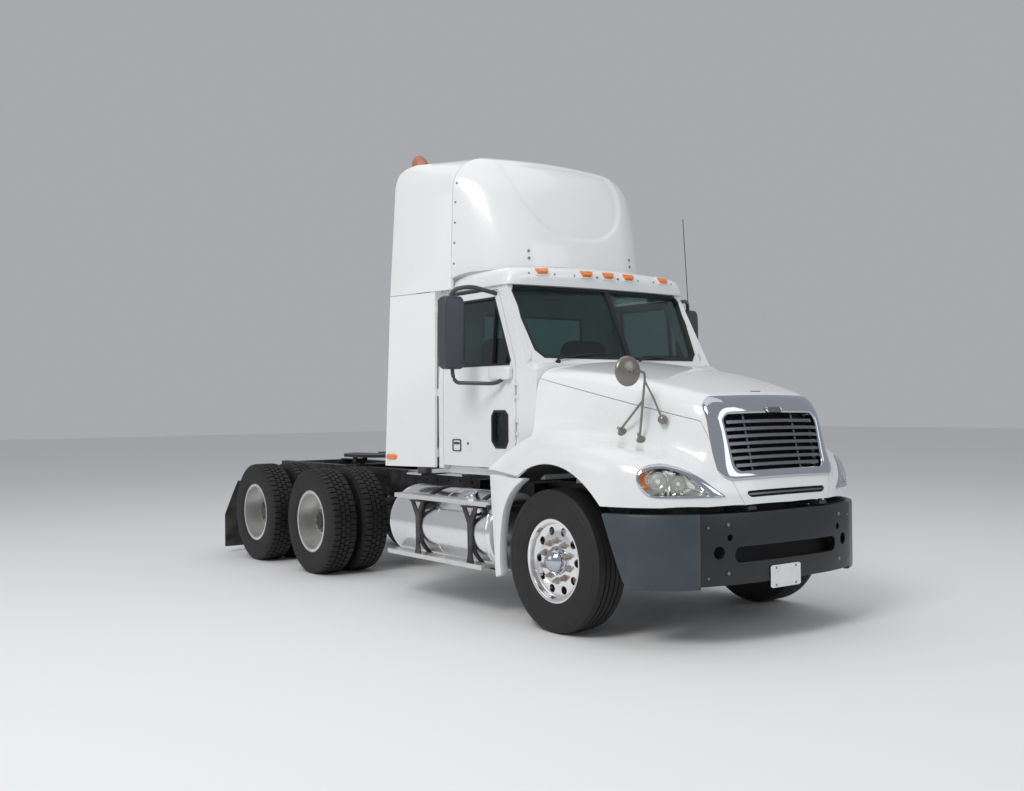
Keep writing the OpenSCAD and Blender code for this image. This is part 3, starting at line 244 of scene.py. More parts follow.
class Shape:
    """Gathers the faces of one piece; each face keeps the number of its material."""

    def __init__(self):
        self.v, self.f, self.m, self.n = [], [], [], 0

    def put(self, verts, faces, m=0):
        verts = np.asarray(verts, float).reshape(-1, 3)
        self.v.append(verts)
        self.f += [tuple(int(i) + self.n for i in q) for q in faces]
        self.m += [m] * len(faces)
        self.n += len(verts)
        return self

    def cap(self, ring, m=0):
        """One face inside a ring of points."""
        return self.put(ring, [tuple(range(len(ring)))], m)

    def box(self, a, b, m=0):
        """A block between two corners."""
        x, y, z = zip(a, b)
        verts = [[x[i], y[j], z[k]] for i in (0, 1) for j in (0, 1) for k in (0, 1)]
        faces = [(0, 1, 3, 2), (4, 6, 7, 5), (0, 4, 5, 1), (2, 3, 7, 6), (0, 2, 6, 4), (1, 5, 7, 3)]
        return self.put(verts, faces, m)

    def prism(self, outline, a, b, to, m=0):
        """Outline of (u, v) pairs, between depths a and b, placed by to(u, v, w)."""
        k = len(outline)
        v = [to(u, w, a) for u, w in outline] + [to(u, w, b) for u, w in outline]
        f = [tuple(range(k))[::-1], tuple(range(k, 2 * k))]
        f += [(i, (i + 1) % k, (i + 1) % k + k, i + k) for i in range(k)]
        return self.put(v, f, m)

    def lathe(self, profile, center, axis, seg=64, m=0, closed=True):
        """Turns (radius, height) pairs round an axis through center."""
        axis = unit(np.asarray(axis, float))
        side = unit(np.cross(axis, [0.3, 0.5, 0.8]))
        other = np.cross(axis, side)
        a = np.linspace(0, 2 * math.pi, seg, endpoint=False)
        ring = np.cos(a)[:, None] * side + np.sin(a)[:, None] * other
        v = [np.asarray(center, float) + r * ring + h * axis for r, h in profile]
        k = len(profile)
        f = [(i * seg + j, i * seg + (j + 1) % seg,
              (i + 1) % k * seg + (j + 1) % seg, (i + 1) % k * seg + j)
             for i in range(k if closed else k - 1) for j in range(seg)]
        return self.put(np.concatenate(v), f, m)

    def bolt(self, at, axis, r, h, m=0, seg=6):
        """A bolt head or a screw head with a small bevel."""
        profile = [(0.01, 0), (r, 0), (r, h * 0.8), (r * 0.8, h), (0.01, h)]
        return self.lathe(profile, at, axis, seg, m, False)

    def tube(self, path, r, seg=14, m=0):
        """A round bar along a path, closed at both ends."""
        path = np.asarray(path, float)
        tang = np.gradient(path, axis=0)
        tang /= np.linalg.norm(tang, axis=1)[:, None]
        ref = np.array([0.31, 0.21, 0.93])
        a = np.linspace(0, 2 * math.pi, seg, endpoint=False)
        rows = []
        for p, t in zip(path, tang):
            s = unit(np.cross(t, ref))
            rows.append(p + r * (np.cos(a)[:, None] * s + np.sin(a)[:, None] * np.cross(t, s)))
        k = len(path)
        f = [(i * seg + j, i * seg + (j + 1) % seg, (i + 1) * seg + (j + 1) % seg, (i + 1) * seg + j)
             for i in range(k - 1) for j in range(seg)]
        f += [tuple(range(seg))[::-1], tuple((k - 1) * seg + j for j in range(seg))]
        return self.put(np.concatenate(rows), f, m)

    def grid(self, rows, m=0, wrap=False, drop=None, back=None):
        """Quads over rows of points: drop leaves some out, and back is a second grid behind it."""
        rows = np.asarray(rows, float)
        r, c = rows.shape[:2]
        idx = np.arange(r * c).reshape(r, c)
        nxt = np.roll(idx, -1, axis=1) if wrap else idx[:, 1:]
        cur = idx if wrap else idx[:, :-1]
        quads = np.stack([cur[:-1], nxt[:-1], nxt[1:], cur[1:]], -1).reshape(-1, 4)
        flat = rows.reshape(-1, 3)
        keep = np.ones(len(quads), bool) if drop is None else ~drop(flat[quads].mean(1))
        if back is None:
            return self.put(flat, quads[keep], m)
        both = np.concatenate([flat, np.asarray(back, float).reshape(-1, 3)])
        f = [tuple(q) for q in quads[keep]] + [tuple(q[::-1] + r * c) for q in quads[keep]]
        edge = np.concatenate([idx[0, ::-1], idx[1:, 0], idx[-1, 1:], idx[-2:0:-1, -1]])
        n = r * c
        f += [(a, b, b + n, a + n) for a, b in zip(edge, np.roll(edge, -1))]
        return self.put(both, f, m)

    def mirrored(self):
        """The same shape on the other side of the truck."""
        o = Shape()
        o.v = [v * MIRROR for v in self.v]
        o.f, o.m, o.n = [q[::-1] for q in self.f], list(self.m), self.n
        return o

    def shifted(self, dy):
        """The same shape further back."""
        o = Shape()
        o.v = [v + np.array([0, dy, 0]) for v in self.v]
        o.f, o.m, o.n = list(self.f), list(self.m), self.n
        return o

    def paired(self):
        """This shape together with its mirror image."""
        return Shape().join(self).join(self.mirrored())

    def join(self, other):
        self.v += other.v
        self.f += [tuple(i + self.n for i in q) for q in other.f]
        self.m += other.m
        self.n += other.n
        return self

    def piece(self, name, looks, body, slot, stands_for=(), sharp=32, bevel=0.0):
        """Makes the object in metres; it rides with a body and stands for nodes of the frame."""
        v = (np.concatenate(self.v) + np.array([0, Y0, 0])) / 1000
        me = bpy.data.meshes.new(name)
        me.from_pydata(v.tolist(), [], self.f)
        looks = [looks] if isinstance(looks, str) else looks
        for k in looks:
            me.materials.append(MATS[k])
        me.polygons.foreach_set("material_index", self.m)
        me.polygons.foreach_set("use_smooth", [True] * len(me.polygons))
        me.update()
        o = bpy.data.objects.new(name, me)
        bpy.context.scene.collection.objects.link(o)
        if bevel:
            b = o.modifiers.new("bevel", "BEVEL")
            b.width, b.segments, b.limit_method = bevel / 1000, 2, "ANGLE"
            dg = bpy.context.evaluated_depsgraph_get()
            o.data = bpy.data.meshes.new_from_object(o.evaluated_get(dg))
            o.modifiers.clear()
            o.data.polygons.foreach_set("use_smooth", [True] * len(o.data.polygons))
        o.data.set_sharp_from_angle(angle=math.radians(sharp))
        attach(o, body)
        if stands_for:
            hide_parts(*stands_for)
        return o


def unit(v):
    return v / np.linalg.norm(v)


def carve(obj, cutter):
    """Cuts a shape's solids out of a piece."""
    v = (np.concatenate(cutter.v) + np.array([0, Y0, 0])) / 1000
    me = bpy.data.meshes.new("cutter")
    me.from_pydata(v.tolist(), [], cutter.f)
    for mesh in (me, obj.data):
        b = bmesh.new()
        b.from_mesh(mesh)
        bmesh.ops.remove_doubles(b, verts=b.verts, dist=1e-6)
        bmesh.ops.recalc_face_normals(b, faces=b.faces)
        b.to_mesh(mesh)
        b.free()
    c = bpy.data.objects.new("cutter", me)
    bpy.context.scene.collection.objects.link(c)
    b = obj.modifiers.new("cut", "BOOLEAN")
    b.object, b.operation, b.solver = c, "DIFFERENCE", "EXACT"
    bpy.context.view_layer.update()
    dg = bpy.context.evaluated_depsgraph_get()
    obj.data = bpy.data.meshes.new_from_object(obj.evaluated_get(dg))
    obj.modifiers.clear()
    bpy.data.objects.remove(c)
    obj.data.set_sharp_from_angle(angle=math.radians(32))
    return obj


# Curved forms, as in the part's source.
NOSE, NOSE_Z, NOSE_RAKE = 1180.0, 941.0, 0.232
PLAN_START, PLAN_DEPTH = -250.0, NOSE - 258   # where the plan begins to round, and how far it runs on
HOOD_AHEAD, HOOD_BEHIND = -900.0, 250.0
HOOD_HALF, HOOD_MID_Z = (610.0, 960.0), (1690.0, 1940.0)   # half width and height there
FENDER_X, FENDER_LOW, FENDER_TOP, FENDER_ROUND = 1175.0, 932.0, 1375.0, 2.6
SKIN, PANEL = 14.0, 24.0
HOOD_REAR, HOOD_TURN, HOOD_BASE, FENDER_MID = 350.0, -450.0, 600.0, 1385.0
ARCH_Y, ARCH_R, LIP_REAR, LIP_FRONT = 20.0, 686.0, 720.0, -522.0
ROOF_Z, ROOF_TOP, CAB_BACK, CAB_X, ROOF_X, BELT = 2560.0, 2745.0, 1700.0, 1000.0, 938.0, 1830.0
VISOR_Y, VISOR_SWEEP = 690.0, 75.0
FAIR_LOW, FAIR_TOP, FAIR_REAR = 2752.0, 3740.0, 1500.0
FAIR_FRONT, FAIR_RAKE, FAIR_SWEEP = 965.0, 330.0, 120.0


def mix(a, b, t):
    return a + (b - a) * t


def smax(a, b, k):
    """The larger of two values, rounded where they come within k of each other."""
    h = np.maximum(k - np.abs(a - b), 0) / k
    return np.maximum(a, b) + h * h * k / 4


def seam_z(y):
    """Height of the line between the hood's top and its fenders."""
    return mix(1490, 1790, (y + 920) / 1175)


def hood_form(p):
    """Below zero inside the hood: a sloped top that runs smoothly into two round fenders."""
    ax, y, z = np.abs(p[..., 0]), p[..., 1], p[..., 2]
    t = (y - HOOD_AHEAD) / (HOOD_BEHIND - HOOD_AHEAD)
    side = ax - mix(*HOOD_HALF, t) + 0.12 * (z - seam_z(y))
    crown = z - mix(*HOOD_MID_Z, t) - 22 * (1 - (2 * t - 1) ** 2) + 30 * (ax / 600) ** 2
    face = -(y + NOSE - 8 - NOSE_RAKE * (z - NOSE_Z) - 137 * (ax / 1000) ** 2)
    ahead = np.maximum(0, PLAN_START - y) / PLAN_DEPTH
    around = (ax / FENDER_X) ** FENDER_ROUND + ahead ** FENDER_ROUND
    plan = 1000 * (around ** (1 / FENDER_ROUND) - 1)
    top = z - FENDER_TOP + np.where(y > 0, 400, 180) * (y / 1000) ** 2
    hood = smax(smax(side, crown, 150), face, 120)
    fender = smax(plan, top, 190)
    return -smax(-hood, -fender, 24 + 126 * np.clip((z - 1080) / 250, 0, 1))


def roof_form(p):
    """Below zero inside the roof cap."""
    ax, y, z = np.abs(p[..., 0]), p[..., 1], p[..., 2]
    front = VISOR_Y + VISOR_SWEEP * (ax / 1000) ** 2 - y - 0.15 * (z - 2600)
    side = ax - 962 + 0.18 * (z - ROOF_Z)
    top = z - ROOF_TOP + 40 * (ax / 900) ** 2 + 60 * (np.maximum(0, 1000 - y) / 400) ** 2
    return smax(smax(side, top, 110), front, 90)


def fairing_form(p):
    """Below zero inside the roof fairing."""
    ax, y, z = np.abs(p[..., 0]), p[..., 1], p[..., 2]
    t = (z - FAIR_LOW) / (FAIR_TOP - FAIR_LOW)
    front = FAIR_FRONT + FAIR_RAKE * np.maximum(0, t) ** 1.7 + FAIR_SWEEP * (ax / 1000) ** 2 - y
    side = 0.95 * (ax - 720 - 0.55 * (y - 1000) + 40 * t)
    top = z - FAIR_TOP + 30 * (ax / 900) ** 2 + 25 * ((FAIR_REAR - y) / 400) ** 2
    return smax(smax(side, top, 300), front, 300)


def cast(form, o, d, reach=2600.0):
    """Where a ray from inside the form, from o along d, comes out of it."""
    o, d = np.broadcast_arrays(np.asarray(o, float), np.asarray(d, float))
    a, b = np.zeros(o.shape[:-1]), np.full(o.shape[:-1], reach)
    for _ in range(30):
        m = (a + b) / 2
        out = form(o + m[..., None] * d) > 0
        b, a = np.where(out, m, b), np.where(out, a, m)
    return o + ((a + b) / 2)[..., None] * d


def grad(form, p):
    """Unit normals of the form's face."""
    g = np.stack([form(p + e) - form(p - e) for e in np.eye(3)], -1)
    return g / np.linalg.norm(g, axis=-1, keepdims=True)


def slerp(a, b, t):
    """Turns from one direction to another."""
    a, b = a / np.linalg.norm(a, axis=-1, keepdims=True), b / np.linalg.norm(b, axis=-1, keepdims=True)
    w = np.maximum(np.arccos(np.clip((a * b).sum(-1), -1, 1))[..., None], 1e-6)
    return (np.sin((1 - t) * w) * a + np.sin(t * w) * b) / np.sin(w)


def ray_dir(deg):
    """Level directions, from straight out to the left (0) to straight ahead (90)."""
    a = np.radians(deg)
    return np.stack([np.cos(a), -np.sin(a), 0 * a], -1)


def lip_z(y):
    """Height of the fender's lower edge."""
    def arch(k):
        return np.maximum(FENDER_LOW, TYRE_R + np.sqrt(np.maximum(0, ARCH_R ** 2 - (k - ARCH_Y) ** 2)))

    k = np.linspace(LIP_FRONT, LIP_REAR, 19)
    rear = np.interp(y, k, np.where(k > 420, mix(1100, 1135, (k - 420) / 300), arch(k)))
    return np.where(y < 300, arch(y), rear)


def hood_controls(fine=4):
    """Lines along the lip, the fender, the seam and the hood's middle, and the y of each row's root."""
    s = np.arange(18 * fine + 1) / (18 * fine)
    lip_y, y = mix(LIP_REAR, LIP_FRONT, s), mix(HOOD_REAR, HOOD_TURN, s)
    zero = 0 * y
    out = ray_dir(zero)

    def mid(yy, zz):
        return np.stack([zero, yy, zz], -1)

    rear = [cast(hood_form, mid(lip_y, lip_z(lip_y)), out), cast(hood_form, mid(y, zero + FENDER_MID), out),
            cast(hood_form, mid(y, seam_z(y)), out), cast(hood_form, mid(y, zero + HOOD_BASE), UP)]
    s = np.arange(1, 12 * fine + 1) / (12 * fine)
    early = s <= 0.6
    k = np.where(early, s / 0.6, (s - 0.6) / 0.4)

    def two(p, q, r):
        return np.where(early, mix(p, q, k), mix(q, r, k))

    def root(z):
        return np.stack([0 * z, 0 * z + HOOD_TURN, z], -1)

    a = np.radians(two(90, 67.5, 25))
    nose = [cast(hood_form, root(0 * s + FENDER_LOW), ray_dir(two(3.6, 15, 25.6))),
            cast(hood_form, root(two(FENDER_MID, 1200, FENDER_LOW + 3)), ray_dir(two(0, 36, 41.5))),
            cast(hood_form, root(two(seam_z(HOOD_TURN), 1500, FENDER_LOW + 6)), ray_dir(two(0, 38, 58.7))),
            cast(hood_form, root(0 * s + HOOD_BASE), np.stack([0 * a, -np.cos(a), np.sin(a)], -1))]
    return [np.concatenate(q) for q in zip(rear, nose)], np.concatenate([y, 0 * s + HOOD_TURN])


def span(form, o, a, b, n):
    """Rows of points on the form, from the line a to the line b, seen from o."""
    t = (np.arange(n + 1) / n)[None, :, None]
    d = slerp((a - o)[:, None], (b - o)[:, None], t)
    return cast(form, o[:, None] + 0 * d, d)


def skin(form, rows, t):
    """The inner face, t behind the outer one."""
    return rows - t * grad(form, rows)


CONTROLS, ROW_Y = hood_controls()
ROW_O = np.stack([0 * ROW_Y, ROW_Y, 0 * ROW_Y + HOOD_BASE], -1)
FENDER_ROWS = np.concatenate([span(hood_form, ROW_O, CONTROLS[0], CONTROLS[1], 28)[:, :-1],
                              span(hood_form, ROW_O, CONTROLS[1], CONTROLS[2], 16)], 1)
HALF = span(hood_form, ROW_O, CONTROLS[2], CONTROLS[3], 32)
HOOD_ROWS = np.concatenate([HALF, (HALF * MIRROR)[:, -2::-1]], 1)
# A shut line between the hood's top and its fenders.
SHUT_LINE = 4.0
gap = FENDER_ROWS[:, -2] - FENDER_ROWS[:, -1]
FENDER_ROWS[:, -1] += SHUT_LINE * gap / np.linalg.norm(gap, axis=1)[:, None]

# Grille plane and headlamp plane.
GRILLE_TILT = math.radians(90 - math.degrees(math.atan(NOSE_RAKE)))
GRILLE_V = np.array([0, math.cos(GRILLE_TILT), math.sin(GRILLE_TILT)])
GRILLE_N = np.array([0, -math.sin(GRILLE_TILT), math.cos(GRILLE_TILT)])
GRILLE_O = np.array([0, 8 - NOSE, NOSE_Z])
GRILLE_FOOT, GRILLE_HEAD, GRILLE_LOW, GRILLE_HIGH = 452, 470, 232, 620   # half widths and heights
LAMP_TURN = math.radians(40)
LAMP_U = np.array([math.cos(LAMP_TURN), -math.sin(LAMP_TURN), 0])
LAMP_N = np.array([-math.sin(LAMP_TURN), -math.cos(LAMP_TURN), 0])
LAMP_O = np.array([-820, -990, 985.0])


def on_grille(u, v, w):
    return GRILLE_O + ACROSS * u + GRILLE_V * v + GRILLE_N * w


def on_lamp(u, v, w):
    return LAMP_O + LAMP_U * u + UP * v + LAMP_N * w


def even(points, n):
    """Evenly spaced points round a closed line."""
    q = np.concatenate([points, points[:1]])
    s = np.concatenate([[0], np.cumsum(np.linalg.norm(np.diff(q, axis=0), axis=1))])
    t = np.linspace(0, s[-1], n, endpoint=False)
    return np.stack([np.interp(t, s, q[:, 0]), np.interp(t, s, q[:, 1])], -1)


def hull_ring(circles, n):
    """The tight band about circles (u, v, radius)."""
    a = np.linspace(0, 2 * math.pi, 1440, endpoint=False)
    d = np.stack([np.cos(a), np.sin(a)], -1)
    c = np.array(circles, float)
    k = (d @ c[:, :2].T + c[:, 2]).argmax(1)
    return even(c[k, :2] + c[k, 2:3] * d, n)


def round_box(u, v, r, n):
    """A rectangle with round corners, between the middles of its corners."""
    return hull_ring([(a, b, r) for a in u for b in v], n)


def trapezoid(w0, w1, v0, v1, r):
    """The corner circles of a trapezoid."""
    return [(s * (w - r), v, r) for s in (-1, 1) for w, v in ((w0, v0 + r), (w1, v1 - r))]


def round_trapezoid(w0, w1, v0, v1, r, arc=16, flat=34):
    """A trapezoid with round corners: like points of two such rings lie on like corners and edges."""
    lean = math.atan2(w0 - w1, v1 - v0 - 2 * r)
    turns = [(-math.pi / 2, lean), (lean, math.pi / 2),
             (math.pi / 2, math.pi - lean), (math.pi - lean, 1.5 * math.pi)]
    mids = [(w0 - r, v0 + r), (w1 - r, v1 - r), (r - w1, v1 - r), (r - w0, v0 + r)]
    arcs = []
    for (a, b), mid in zip(turns, mids):
        t = np.linspace(a, b, arc)
        arcs.append(np.array(mid) + r * np.stack([np.cos(t), np.sin(t)], -1))
    out = []
    for k in range(4):
        f = (np.arange(flat) + 1)[:, None] / (flat + 1)
        out += [arcs[k], arcs[k][-1] * (1 - f) + arcs[(k + 1) % 4][0] * f]
    return np.concatenate(out)


def grille_ring(grow):
    """The grille's opening, made wider all round."""
    return round_trapezoid(GRILLE_FOOT + grow, GRILLE_HEAD + grow, GRILLE_LOW - grow * 0.6,
                           GRILLE_HIGH + grow * 0.75, 60 + grow * 0.4)


def loop(points, n):
    """A smooth closed line through points, evenly sampled."""
    p = np.array(points, float)
    t = np.linspace(0, 1, 24, endpoint=False)[:, None]
    a, b, c, d = np.roll(p, 1, 0), p, np.roll(p, -1, 0), np.roll(p, -2, 0)
    q = [0.5 * (2 * b[i] + (c[i] - a[i]) * t + (2 * a[i] - 5 * b[i] + 4 * c[i] - d[i]) * t ** 2
                + (3 * b[i] - a[i] - 3 * c[i] + d[i]) * t ** 3) for i in range(len(p))]
    return even(np.concatenate(q), n)


LAMP_MID = np.array([[-110, 112.0]])
LENS_RING = loop([(-303, 138), (-284, 172), (-223, 196), (-143, 203), (-64, 184), (14, 150), (84, 100),
                  (132, 52), (140, 33), (40, 28), (-80, 27), (-201, 30), (-249, 51), (-285, 92)], 140)
BEZEL_RING = loop([(-322, 138), (-302, 192), (-239, 225), (-158, 234), (-70, 219), (18, 187), (104, 139),
                   (183, 80), (258, 24), (256, 8), (150, 8), (-44, 8), (-201, 12), (-262, 33),
                   (-302, 80)], 140)


def to_face(ring, origin, u, v, n):
    """Carries a ring along n from its plane onto the hood."""
    p = origin + ring[..., :1] * u + ring[..., 1:] * v - 260 * n
    return cast(hood_form, p, n, 600.0)


def grille_pts(ring):
    return to_face(ring, GRILLE_O, ACROSS, GRILLE_V, GRILLE_N)


def lamp_pts(ring):
    return to_face(ring, LAMP_O, LAMP_U, UP, LAMP_N)


def in_amber(p):
    """The outer end of the headlamp."""
    return (p - LAMP_O) @ LAMP_U < -252


def domed(s, ring, mid, steps, to, m=0):
    """A form over a ring: each step has a share of the way to the middle and a height."""
    rows = [[to(u, v, w) for u, v in mix(ring, np.array([mid], float), f)] for f, w in steps]
    s.grid(rows, m, wrap=True)
    s.cap(rows[-1], m)


# Hood and fenders, with openings for the grille, the slot below it and the headlamps.
OUTER_BAND = round_trapezoid(585, 572, 166, 767, 100)
SLOT_RING = hull_ring(trapezoid(375, 398, 48, 92, 16), 80)
HINGE_X, HINGE_Y, HINGE_Z = 365, -1150, 913   # the hinge pins
hood = Shape().grid(HOOD_ROWS, back=skin(hood_form, HOOD_ROWS, SKIN))
cut = Shape().prism(SLOT_RING, -90, 90, on_grille)
cut.prism(hull_ring(trapezoid(558, 545, 193, 738, 85), 120), -150, 150, on_grille)
carve(hood.piece("hood_panel", "white_paint", "hood", "white_paint", ["hood_top"], 40), cut)
s = Shape()
for x in (-HINGE_X, HINGE_X):
    s.lathe([(8.2, -10), (15, -10), (15, 10), (8.2, 10)], (x, HINGE_Y, HINGE_Z), ACROSS, 24)
    s.box((x - 10, HINGE_Y + 2, HINGE_Z + 13), (x + 10, HINGE_Y + 24, HINGE_Z + 65))
s.piece("hood_lugs", "frame_paint", "hood", "frame_paint")
cut = Shape().prism(mix(BEZEL_RING, LAMP_MID, 0.05), -260, 160, on_lamp)
fender = Shape().grid(FENDER_ROWS, back=skin(hood_form, FENDER_ROWS, SKIN))
for side, shape, lamp_cut in (("left", fender, cut.mirrored()), ("right", fender.mirrored(), cut)):
    o = shape.piece("fender_skin_" + side, "white_paint", "hood", "white_paint", ["fender_" + side], 40)
    carve(o, lamp_cut)

# Dark liners inside the wheel arches.
a = np.radians(np.linspace(52, 142, 40))
rows = np.array([np.stack([0 * a + x, ARCH_Y + r * np.cos(a), TYRE_R + r * np.sin(a)], -1)
                 for x, r in ((470, 676), (1100, 676), (1146, 682))])
liner = Shape().grid(rows, back=rows + 6 * UP)
liner.paired().piece("arch_liners", "gasket", "hood", "black_rubber", sharp=60)

# Grille: chrome surround, louvres, and a flat black sheet behind them that paints the shade inside the
# grille.
BAND = [(0, -46), (0, -6), (0.03, 3), (0.12, 9), (0.4, 13), (0.75, 12), (0.92, 8), (1.0, 0), (1.01, -9)]
LOUVRE = [(-13, -12), (9, -16), (14, -24), (13, -52), (-9, -52), (-15, -34)]
LOUVRES, LOUVRE_LOW, LOUVRE_STEP = 7, 258, 50
rows = [grille_pts(mix(grille_ring(0), OUTER_BAND, f)) + h * GRILLE_N for f, h in BAND]
Shape().grid(rows, wrap=True).piece("grille_chrome", "chrome", "hood", "chrome", ["grille_surround"], 60)
s = Shape()
for k in range(LOUVRES):
    v = LOUVRE_LOW + k * LOUVRE_STEP
    w = mix(GRILLE_FOOT, GRILLE_HEAD, (v - GRILLE_LOW) / (GRILLE_HIGH - GRILLE_LOW))
    w -= 26 if k in (0, LOUVRES - 1) else 2
    x = np.linspace(-w, w, 25)
    base = grille_pts(np.stack([x, 0 * x + v + 13], -1))
    s.grid([base + a * GRILLE_V + b * GRILLE_N for a, b in LOUVRE + LOUVRE[:1]])
    for end in (base[0], base[-1]):
        face = tuple(range(len(LOUVRE)))
        s.put([end + a * GRILLE_V + b * GRILLE_N for a, b in LOUVRE], [face, face[::-1]])
for x in (-250, 250):
    low, high = GRILLE_LOW + 4, GRILLE_HIGH - 4
    s.prism([(x - 9, low), (x + 9, low), (x + 9, high), (x - 9, high)], -84, -56, on_grille)
# A black sheet behind the louvres: painted shade inside the grille.
s.cap(grille_pts(grille_ring(6)) - 78 * GRILLE_N, 1)
s.grid([grille_pts(SLOT_RING) + h * GRILLE_N for h in (1.5, -16)], wrap=True)
# The slot's black floor: painted shade inside the slot.
s.cap(grille_pts(SLOT_RING) - 16 * GRILLE_N, 1)
x = np.linspace(-378, 378, 25)
s.grid([grille_pts(np.stack([x, 0 * x + 70 + a], -1)) + b * GRILLE_N
        for a, b in ((-6, -15), (-6, -6), (6, -6), (6, -15))])
s.piece("grille_louvres", ["louvre", "screen"], "hood", "bumper_dark", ["grille_bars"], 25)
badge = hull_ring([(-66, 640, 20), (66, 640, 20)], 60)
rows = [mix(badge, np.array([[0, 640.0]]), f) for f in (0, 0, 0.12, 0.2, 0.9)]
pts = [grille_pts(r) + h * GRILLE_N for r, h in zip(rows, (4, 21, 25, 22, 22))]
s = Shape().grid(pts[:4], 0, wrap=True).grid(pts[3:], 1, wrap=True).cap(pts[-1], 1)
s.piece("blank_badge", ["chrome", "louvre"], "hood", "chrome", sharp=50)
vent = hull_ring([(-45, 0, 8), (45, 0, 8)], 30)
p = np.stack([vent[:, 0], -875 + vent[:, 1], 0 * vent[:, 0] + 900], -1)
Shape().cap(cast(hood_form, p, UP) + 1.2 * UP).piece("hood_vent", "gasket", "hood", "bumper_dark")

# Headlamps: clear lens, chrome bezel, bowls and an amber end.
BEZEL = [(0, -12), (0, 2), (0.15, 6), (0.8, 7), (1, 2), (1.03, -8)]
DISH = [(0.0, -6), (0.05, -34), (0.2, -58), (0.45, -72), (0.75, -78), (0.98, -80)]
rows = [lamp_pts(mix(LENS_RING, LAMP_MID, f)) + 3 * LAMP_N for f in (0, 0.06, 0.2, 0.4, 0.6, 0.8, 0.97)]
lens = Shape().grid([rows[0] - 9 * LAMP_N] + rows, wrap=True).cap(rows[-1])
rows = [lamp_pts(mix(LENS_RING, BEZEL_RING, f)) + h * LAMP_N for f, h in BEZEL]
bezel = Shape().grid(rows, wrap=True)
rows = np.array([lamp_pts(mix(LENS_RING, LAMP_MID, f)) + h * LAMP_N for f, h in DISH])
bowl = Shape().grid(rows, 0, wrap=True, drop=in_amber)
bowl.grid(rows, 1, wrap=True, drop=lambda p: ~in_amber(p))
bowl.cap(rows[-1])
for u, v, r in ((-176, 116, 62), (-44, 100, 52)):
    c = lamp_pts(np.array([[u, v]]))[0] - 76 * LAMP_N
    bowl.lathe([(r * 0.25, 2), (r * 0.7, 9), (r * 0.95, 26), (r, 40), (r * 1.05, 41), (r * 1.05, 0)],
               c, LAMP_N, 40)
    bowl.lathe([(0.01, 30), (r * 0.24, 28), (r * 0.3, 18), (r * 0.3, 2)], c, LAMP_N, 24, 2, False)
for name, looks, shape, slot, nodes in (
        ("headlamp_lenss", "lamp_lens", lens, "lamp_lens", ["headlamps"]),
        ("headlamp_bezels", "chrome", bezel, "chrome", ["headlamp_bezels"]),
        ("headlamp_bowls", ["reflector", "amber_lens", "bulb_white"], bowl, "lamp_lens", ())):
    shape.paired().piece(name, looks, "hood", slot, nodes, 50)


# Roof cap, fairing and extenders.
def cap_rows(form, rear, turn, low, base, spread, reach, n_rear, n_nose, n_half):
    """Rows over a cap: straight from the rear to the turn, then fanned out round its front."""
    i = np.arange(n_rear + 1) / n_rear
    k = np.concatenate([0 * i, np.arange(1, n_nose + 1) / n_nose])
    y = np.concatenate([mix(rear, turn, i), np.full(n_nose, turn)])
    o = np.stack([0 * y, y, 0 * y + base], -1)
    e = cast(form, np.stack([0 * y, y, 0 * y + low], -1), ray_dir(spread * k))
    a = np.radians(mix(90, math.degrees(math.atan2(low - base, reach)), k))
    m = cast(form, o, np.stack([0 * a, -np.cos(a), np.sin(a)], -1))
    h = span(form, o, e, m, n_half)
    return np.concatenate([h, (h * MIRROR)[:, -2::-1]], 1)


def flat(u, v, w):
    """Stands an outline up: level, with its depth upward."""
    return u, v, w


def facing(u, v, w):
    """Stands an outline up: facing ahead, with its depth to the rear."""
    return u, w, v


def sideways(u, v, w):
    """Stands an outline up: facing the side, with its depth across."""
    return w, u, v


ROOF = cap_rows(roof_form, CAB_BACK + 12, 1000, ROOF_Z + 2, 2480, 28, 305, 24, 40, 40)
RIM_X = 940
s = Shape().grid(ROOF, back=skin(roof_form, ROOF, PANEL))
s.prism([(0, 705), (600, 735), (RIM_X, 800), (RIM_X, 1706), (-RIM_X, 1706), (-RIM_X, 800), (-600, 735)],
        2561, 2586, flat)
s.piece("roof_cap", "white_paint", "chassis", "white_paint", ["cab_roof"], 40)
FAIR = cap_rows(fairing_form, FAIR_REAR, 1330, FAIR_LOW, 2600, 40, 365, 20, 60, 60)
# A shallow recess with a round foot in the fairing's front.
RECESS_X, RECESS_Z, RECESS_TOP, RECESS_DEPTH = 610, 760, 3760, 13
foot = np.maximum(0, RECESS_TOP - FAIR[..., 2]) / RECESS_Z
inside = (np.abs(FAIR[..., 0]) / RECESS_X) ** 2.4 + foot ** 2.4
front = np.clip((1420 - FAIR[..., 1]) / 60, 0, 1)
step = np.clip((1.06 - inside) / 0.12, 0, 1)
step = step * step * (3 - 2 * step) * front
FAIR_OUT = FAIR - (RECESS_DEPTH * step)[..., None] * grad(fairing_form, FAIR)
s = Shape().grid(FAIR_OUT, back=skin(fairing_form, FAIR, PANEL + 4))
for y, half in ((1150, 720), (1440, 935)):
    s.box((-half, y, ROOF_TOP + 45), (half, y + 30, ROOF_TOP + 75))
    for x in (-500, 500):
        s.box((x - 20, y, ROOF_TOP - 10), (x + 20, y + 30, ROOF_TOP + 62))
s.piece("fairing_shell", "white_paint", "chassis", "white_paint", ["roof_fairing"], 40)
